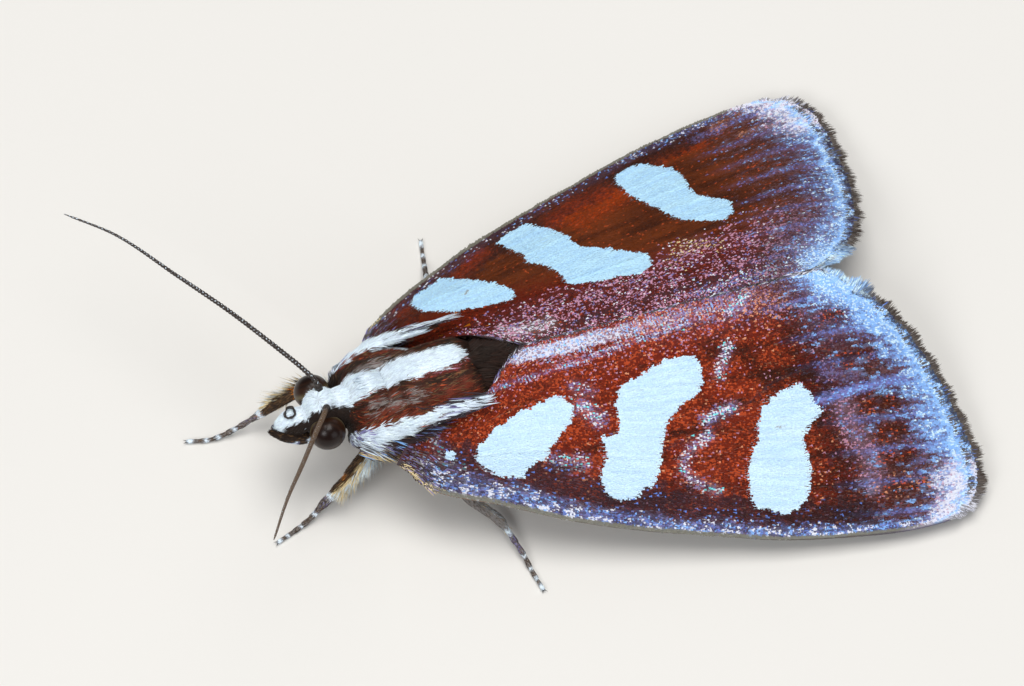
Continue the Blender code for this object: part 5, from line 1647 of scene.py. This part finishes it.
class MOTH_OT_fur(bpy.types.Operator):
    """Make the hair of head, back, shoulder flaps, crest and abdomen"""

    bl_idname = "moth.fur"
    bl_label = "Fur"

    def execute(self, context):
        ground = bpy.data.meshes["body_fur_ground"]
        hair = fur_finish("body_hair", 0.72)
        for name in FUR:
            self.patch(name, ground, hair)
        bpy.data.meshes.remove(ground)
        self.crest(hair)
        self.shoulders(hair)
        self.flap_tails(hair)
        self.tail_tuft(hair)
        return {"FINISHED"}

    def patch(self, name, ground, hair):
        """One stretch of fur, combed backwards or, on the head, from its crown."""
        size = sizes()
        count, seed, (front, rear), (low, high), tangle, length, width, lift, slot = FUR[name]

        def region(middles):
            y, z = middles[:, 1], middles[:, 2]
            return (y > front) & (y <= rear) & (z > low) & (z <= high)

        places, ups = surface_sample(ground, count, seed, region)
        rng = np.random.default_rng(seed + 1)
        direction = [0.0, 1.0, 0.0]
        if name == "head_fur":
            forward = smoothstep(-13.9, -14.8, places[:, 1])
            direction = np.column_stack((places[:, 0] * 0.5, 1.0 - 2.0 * forward, -0.35 * forward))
        headings = combed(ups, direction, tangle, places, seed + 2)
        one_side = np.abs(places) * [1, 0, 0] + places * [0, 1, 1]
        eye_side = np.linalg.norm(one_side - np.array(EYE_CENTRE), axis=1)
        shorter = np.where(places[:, 1] < -12.9, smoothstep(0.82, 1.15, eye_side) * 0.75 + 0.25, 1.0)
        long = size["fur_length"] * length * rng.uniform(0.7, 1.15, count) * shorter
        wide = size["fur_width"] * width * rng.uniform(0.75, 1.25, count)
        up_tilt = lift + 0.22 * (cloud(places, 0.4, seed + 6) - 0.5) + rng.normal(0.0, 0.05, count)
        keep = places[:, 2] > 0.22
        tints = body_tint(places + headings * (0.3 * long)[:, None], seed + 3)
        coat(name, HAIR, places[keep], headings[keep], ups[keep], long[keep], wide[keep], up_tilt[keep],
             0.14, tints[keep], body_unwrap(places)[keep], hair, slot, thick=0.35,
             gloss=rng.random(count)[keep], sway=rng.normal(0.0, 0.12, count)[keep])

    def crest(self, hair):
        """Dark tuft of long hairs standing behind the back."""
        rng = np.random.default_rng(450)
        count = CREST_HAIRS
        spin = rng.uniform(-1.0, 1.0, count)
        depth = rng.random(count)
        wide = np.where(np.arange(count) < CREST_UPRIGHT, 0.34, 1.35)
        low = (wide > 1.0) * (0.25 + 0.9 * spin ** 2)
        height = 6.05 + 0.2 * (1 - spin ** 2) - 0.2 * depth - low
        roots = np.column_stack((wide * spin, -7.2 + 0.8 * depth, height))
        rise = (0.25 + 0.3 * rng.random(count)) * (wide < 1.0) - 0.1
        headings = np.column_stack((0.4 * spin, np.ones(count), rise))
        ups = unit(np.column_stack((0.4 * spin, -0.3 * np.ones(count), np.ones(count))))
        marks = Marker(count, "soot", 451).lay("umber", 0.3)
        coat("crest_tuft", LONG_HAIR, roots, headings, ups, rng.uniform(0.75, 1.25, count), 0.05, 0.12, 0.22,
             marks.vary(0.3).tint, body_unwrap(roots), hair, "dark_fur", thick=0.4,
             gloss=rng.random(count), sway=rng.normal(0.0, 0.12, count))

    def shoulders(self, hair):
        """Dark hair, mixed with pale hairs, from the side of the body over the roots of the wings."""
        for side, tag in SIDES:
            rng = np.random.default_rng(490 + int(side))
            count = SHOULDER_HAIRS
            share = rng.random(count)
            roots = np.column_stack((1.95 + 0.3 * np.sin(math.pi * share), -13.1 + 3.2 * share,
                                     5.35 - 1.3 * rng.random(count)))
            headings = np.column_stack((rng.uniform(0.25, 0.75, count), np.ones(count),
                                        rng.uniform(-0.45, 0.05, count)))
            ups = unit(np.column_stack((np.ones(count), -0.2 * np.ones(count), 0.6 * np.ones(count))))
            mirror = np.array([side, 1.0, 1.0])
            marks = Marker(count, "soot", 492).lay("umber", 0.4, 0.6)
            marks.lay("tan", 0.16, 0.8)
            marks.lay("lilac", 0.12, 0.8)
            marks.lay("cream", 0.26 * smoothstep(4.8, 4.3, roots[:, 2]), 0.8)
            marks.lay("sky", 0.05, 0.9)
            front = smoothstep(-12.3, -12.9, roots[:, 1]) * smoothstep(4.3, 4.7, roots[:, 2])
            marks.lay("snow", 0.75 * front, 0.8)
            coat(f"shoulder_{tag}_tuft", LONG_HAIR, roots * mirror, headings * mirror, ups * mirror,
                 rng.uniform(0.7, 1.2, count) + 0.35 * share, 0.055, rng.normal(0.08, 0.06, count), 0.1,
                 marks.vary(0.2).tint,
                 body_unwrap(roots * mirror), hair, "brown_fur", thick=0.35, gloss=rng.random(count),
                 sway=rng.normal(0.0, 0.1, count))

    def flap_tails(self, hair):
        """Long loose hairs that end the shoulder flaps."""
        for side, tag in SIDES:
            rng = np.random.default_rng(460 + int(side))
            count = FLAP_HAIRS
            share = rng.uniform(0.5, 1.0, count)
            off = rng.normal(0.0, 0.2, count)
            middle = path_at(TEGULA_PATH, share)
            outward = unit(middle * [1.0, 0.0, 1.0] - np.array([0.0, 0.0, THORAX_CENTRE[2]]))
            across = unit(np.cross(outward, np.array([0.0, 1.0, 0.0])))
            roots = middle + across * off[:, None] + outward * 0.16
            headings = np.column_stack((0.1 + 0.45 * off, np.ones(count), -0.06 * np.ones(count)))
            mirror = np.array([side, 1.0, 1.0])
            marks = Marker(count, "snow", 462)
            marks.lay("soot", 0.15 + 0.8 * smoothstep(0.2, 0.34, np.abs(off)), 0.9)
            marks.lay("lilac", 0.1)
            long = rng.uniform(0.7, 1.6, count) * (0.6 + 0.4 * share)
            coat(f"tegula_{tag}_tail", LONG_HAIR, roots * mirror, headings * mirror, outward * mirror, long,
                 0.062, rng.normal(0.05, 0.04, count), 0.08, marks.vary(0.12).tint,
                 body_unwrap(roots * mirror), hair, "white_fur", thick=0.35, gloss=rng.random(count),
                 sway=rng.normal(0.0, 0.08, count))

    def tail_tuft(self, hair):
        """Tuft of long scales at the end of the abdomen."""
        rng = np.random.default_rng(470)
        count = ABDOMEN_HAIRS
        turn = rng.uniform(0.0, 2.0 * math.pi, count)
        depth = rng.random(count)
        ring = 0.3 + 0.35 * depth
        roots = np.column_stack((ring * np.cos(turn), 7.6 - 1.1 * depth, 1.3 + 0.8 * ring * np.sin(turn)))
        outward = unit(np.column_stack((np.cos(turn), np.zeros(count), np.sin(turn))))
        headings = outward * 0.16 + np.array([0.0, 1.0, 0.0])
        marks = Marker(count, "orange", 471).lay("soot", 0.3)
        coat("abdomen_tuft", LONG_HAIR, roots, headings, outward, rng.uniform(0.8, 1.3, count), 0.07, 0.06,
             0.1, marks.vary(0.25).tint, body_unwrap(roots), hair, "abdomen_fur", thick=0.35,
             gloss=rng.random(count), sway=rng.normal(0.0, 0.1, count))


class MOTH_OT_face(bpy.types.Operator):
    """Make the eyes, the raised ring on the front and the palps"""

    bl_idname = "moth.face"
    bl_label = "Eyes and face"

    def execute(self, context):
        glossy = eye_finish()
        for side, tag in SIDES:
            shape = bmesh.new()
            bmesh.ops.create_icosphere(shape, subdivisions=5, radius=EYE_RADIUS)
            bmesh.ops.scale(shape, verts=shape.verts, vec=(0.94, 1.0, 1.0))
            centre = (side * EYE_CENTRE[0], *EYE_CENTRE[1:])
            bmesh.ops.translate(shape, verts=shape.verts, vec=centre)
            facing = unit(corners_of(shape) - np.array(centre))
            disc = facing @ unit(np.array([side * 0.75, -0.15, 0.62]))
            marks = Marker(len(disc), "eye").lay(("umber", 0.34), smoothstep(0.66, 0.82, disc))
            marks.lay(("soot", 0.4), bump(0.6, 0.07, disc) * 0.7)
            marks.lay(("cream", 0.2), bump(0.05, 0.14, disc) * 0.6)
            piece = to_object(f"eye_{tag}_dome", shape, glossy)
            give_tint(piece.data, marks.tint)
            finish(piece, "eye", f"eye_{tag}")
        self.ring()
        self.palps()
        return {"FINISHED"}

    def ring(self):
        """The black raised ring on the front of the head."""
        shape = bmesh.new()
        bmesh.ops.create_circle(shape, segments=14, radius=FRONS_RING_THICK)
        bmesh.ops.rotate(shape, verts=shape.verts, matrix=Matrix.Rotation(math.pi / 2, 3, "X"))
        bmesh.ops.translate(shape, verts=shape.verts, vec=(FRONS_RING_RADIUS, 0.0, 0.0))
        bmesh.ops.spin(shape, geom=list(shape.verts) + list(shape.edges), cent=(0.0, 0.0, 0.0),
                       axis=(0.0, 0.0, 1.0), angle=2 * math.pi, steps=40, use_merge=True)
        bmesh.ops.remove_doubles(shape, verts=shape.verts, dist=0.0005)
        bmesh.ops.scale(shape, verts=shape.verts, vec=(1.0, 1.0, 1.8))
        bmesh.ops.rotate(shape, verts=shape.verts, matrix=Matrix.Rotation(FRONS_RING_TILT, 3, "X"))
        bmesh.ops.translate(shape, verts=shape.verts, vec=FRONS_RING_CENTRE)
        corners = corners_of(shape)
        wave = np.column_stack([cloud(corners, 0.12, 480 + axis) - 0.5 for axis in range(3)])
        move_corners(shape, corners + 0.1 * wave)
        bmesh.ops.recalc_face_normals(shape, faces=shape.faces)
        piece = to_object("frons_ring", shape, skin_finish("frons_ring", 0.3, 22000.0, 0.00001))
        marks = Marker(len(corners), ("soot", 0.8))
        marks.lay(("smoke", 0.7), smoothstep(0.55, 0.75, cloud(corners, 0.14, 484)))
        give_tint(piece.data, marks.tint)
        finish(piece, "dark_fur")

    def palps(self):
        """The two palps, dark with white dots."""
        skin = skin_finish("palp_skin", 0.6, 14000.0, 0.00001)
        hair = fur_finish("palp_hair", 0.6)

        def radius_of(share):
            return np.interp(share, *PALP_RADII)

        def tint_of(share, turn):
            return Marker(len(share), "soot").tint

        for side, tag in SIDES:
            path = [(x * side, y, z) for x, y, z in (PALP_PATH if side > 0 else PALP_PATH_RIGHT)]
            piece = limb(f"palp_{tag}_skin", path, radius_of, 20, PALP_RINGS, skin, tint_of)
            finish(piece, "dark_fur", f"palp_{tag}")
            places, ups, ahead, share, turn = limb_places(path, radius_of, PALP_HAIRS, PALP_RINGS,
                                                          500 + int(side))
            rng = np.random.default_rng(503 + int(side))
            marks = Marker(PALP_HAIRS, "soot", 505)
            spots = cloud(places, 0.22, 506)
            marks.lay("tan", 0.12, 0.8)
            marks.lay("snow", 1.1 * smoothstep(0.6, 0.68, spots) * smoothstep(0.66, 0.5, share))
            marks.lay("lilac", 0.3 * smoothstep(0.6, 0.7, spots), 0.8)
            headings = combed(ups, ahead, 0.2, places, 507)
            coat(f"palp_{tag}_hair", HAIR, places, headings, ups, rng.uniform(0.16, 0.3, PALP_HAIRS), 0.055,
                 0.16, 0.1, marks.vary(0.25).tint, limb_unwrap(share, turn), hair,
                 "dark_fur", thick=0.35, gloss=rng.random(PALP_HAIRS))


class MOTH_OT_feelers(bpy.types.Operator):
    """Make the jointed feelers with their white-dotted scales"""

    bl_idname = "moth.feelers"
    bl_label = "Feelers"

    def execute(self, context):
        size = sizes()
        skin = skin_finish("feeler_skin", 0.42, 30000.0, 0.000006)
        scale = scale_finish("feeler_scale", 0.4, 0.2, 0.2)
        thick = size["feeler_radius"]

        def radius_of(share):
            joint = share * FEELER_JOINTS % 1.0
            flare = 0.84 + 0.24 * smoothstep(0.1, 0.85, joint) - 0.2 * smoothstep(0.88, 1.0, joint)
            stem = np.interp(share, *FEELER_RADII)
            return thick * stem * np.where(share < 0.03, 1.0, flare)

        def tint_of(share, turn):
            joint = share * FEELER_JOINTS % 1.0
            marks = Marker(len(share), "soot" if right else ("tan", 0.7))
            marks.lay(("soot", 0.8), smoothstep(0.09, 0.05, share))
            return marks.lay("smoke", smoothstep(0.82, 0.95, joint) * 0.2).tint

        for name, path in FEELERS.items():
            right = name.endswith("r")
            piece = limb(f"{name}_skin", path, radius_of, 10, FEELER_JOINTS * 5, skin, tint_of)
            finish(piece, "feeler", name)
            rng = np.random.default_rng(520 + right)
            number = np.repeat(np.arange(3, FEELER_JOINTS), 5)
            share = (number + rng.uniform(0.35, 0.6, len(number))) / FEELER_JOINTS
            turn = rng.normal(math.pi / 2, 0.75, len(number))
            middles, ahead, ups, sides = carried_frames(path, 400)
            index = np.clip((share * 399).astype(int), 0, 398)
            outward = sides[index] * np.cos(turn)[:, None] + ups[index] * np.sin(turn)[:, None]
            roots = middles[index] + outward * (radius_of(share) * 0.97)[:, None]
            marks = Marker(len(share), ("smoke", 0.8), 523)
            marks.lay("snow", bump(math.pi / 2, 0.5, turn) * (0.9 if right else 0.25))
            marks.lay("soot", smoothstep(0.5, 1.1, np.abs(turn - math.pi / 2)) * 0.8)
            coat(f"{name}_scales", SCALE, roots, ahead[index], outward, 0.06, 0.042, 0.14, 0.05,
                 marks.vary(0.15).tint, limb_unwrap(share, turn, 0.4), scale,
                 "feeler", thick=0.25, gloss=rng.random(len(share)))
        return {"FINISHED"}


class MOTH_OT_legs(bpy.types.Operator):
    """Make the six legs with their scales, hairs, spurs and claws"""

    bl_idname = "moth.legs"
    bl_label = "Legs"

    def execute(self, context):
        skin = skin_finish("leg_skin", 0.5, 16000.0, 0.00001)
        hair = fur_finish("leg_hair", 0.68)
        for number, (name, path) in enumerate(LEGS.items()):
            front = name.startswith("fore")
            piece = limb(f"{name}_skin", path, leg_radius, 16, LEG_RINGS, skin,
                         lambda share, turn: leg_tint(share, turn, name))
            self.extras(piece, path, name)
            finish(piece, "leg_scales", name)
            count = LEG_HAIRS
            places, ups, ahead, share, turn = limb_places(path, leg_radius, count, LEG_RINGS, 600 + number)
            rng = np.random.default_rng(620 + number)
            knee = LEG_MARKS.get(name, USUAL_LEG_MARKS)[0]
            outside = np.cos(turn) * (1.0 if name.endswith("r") else -1.0)
            bushy = smoothstep(knee, knee - 0.1, share) * (1.0 if front else 0.3)
            bushy *= 0.3 + 0.7 * smoothstep(-0.4, 0.3, outside)
            tufted = cloud(np.column_stack((share * 26.0, turn)), 0.7, 630 + number)
            long = 0.14 + bushy * rng.uniform(0.12, 0.5, count) * (0.4 + 1.2 * tufted)
            lift = 0.14 + bushy * rng.uniform(0.2, 1.0, count)
            keep = places[:, 2] + ups[:, 2] * long * lift > 0.03
            headings = combed(ups, ahead, 0.25, places, 640 + number)
            headings[:, 2] = np.where(share > 0.75, np.maximum(headings[:, 2], -0.02), headings[:, 2])
            tints = leg_tint(share, turn, name, 660 + number)
            unwrap = limb_unwrap(share, turn)
            coat(f"{name}_hair", HAIR, places[keep], headings[keep], ups[keep], long[keep],
                 (0.042 * rng.uniform(0.8, 1.2, count))[keep], lift[keep], 0.1, tints[keep], unwrap[keep],
                 hair, "leg_scales", thick=0.35, gloss=rng.random(count)[keep])
        return {"FINISHED"}

    def extras(self, piece, path, name):
        """Join spurs at the end of the shin and two claws at the foot."""
        middles, ahead, _, sides = carried_frames(path, SPIKE_PLACES)
        tip = SPIKE_PLACES - 1
        spikes = [spike for kind, row in SPIKES.items() if name.startswith(kind) for spike in row]
        whole = bmesh.new()
        whole.from_mesh(piece.data)
        layer = whole.verts.layers.float_color["tint"]
        for index, hand, length, radius, splay in spikes:
            made = bmesh.ops.create_cone(whole, cap_ends=True, segments=8, radius1=radius,
                                         radius2=radius * 0.12, depth=length)
            heading = Vector(ahead[index] + sides[index] * hand * splay).normalized()
            if index == tip:
                heading = Vector((heading.x, heading.y, max(heading.z, -0.1))).normalized()
            turn = heading.to_track_quat("Z", "Y").to_matrix().to_4x4()
            start = Vector(middles[index]) + heading * length * 0.5
            matrix = Matrix.Scale(MM, 4) @ Matrix.Translation(start) @ turn
            bmesh.ops.transform(whole, verts=made["verts"], matrix=matrix)
            for vertex in made["verts"]:
                vertex[layer] = (*tone("soot" if index == tip else ("cream", 0.6)), 0.5)
        whole.to_mesh(piece.data)
        whole.free()


class MOTH_PT_panel(bpy.types.Panel):
    """Lists the operators that build the moth"""

    bl_idname = "MOTH_PT_panel"
    bl_label = "Moth"
    bl_space_type = "VIEW_3D"
    bl_region_type = "UI"
    bl_category = "Moth"

    def draw(self, context):
        for kind in OPERATORS:
            self.layout.operator(kind.bl_idname)
        for group in (context.scene.moth_sizes, context.scene.moth_colours):
            for name in group.__annotations__:
                self.layout.prop(group, name)


OPERATORS = (MOTH_OT_stage, MOTH_OT_forewings, MOTH_OT_hindwings, MOTH_OT_fringes, MOTH_OT_body,
             MOTH_OT_fur, MOTH_OT_face, MOTH_OT_feelers, MOTH_OT_legs)
CLASSES = (MothSizes, MothColours, *OPERATORS, MOTH_PT_panel)


def register():
    """Register the classes and their settings."""
    for kind in CLASSES:
        bpy.utils.register_class(kind)
    bpy.types.Scene.moth_sizes = bpy.props.PointerProperty(type=MothSizes)
    bpy.types.Scene.moth_colours = bpy.props.PointerProperty(type=MothColours)


def unregister():
    """Remove the settings and the classes."""
    del bpy.types.Scene.moth_colours
    del bpy.types.Scene.moth_sizes
    for kind in reversed(CLASSES):
        bpy.utils.unregister_class(kind)


def main():
    """Build every piece in order."""
    register()
    bpy.ops.moth.stage()
    bpy.ops.moth.forewings()
    bpy.ops.moth.hindwings()
    bpy.ops.moth.fringes()
    bpy.ops.moth.body()
    bpy.ops.moth.fur()
    bpy.ops.moth.face()
    bpy.ops.moth.feelers()
    bpy.ops.moth.legs()


if __name__ == "__main__":
    main()
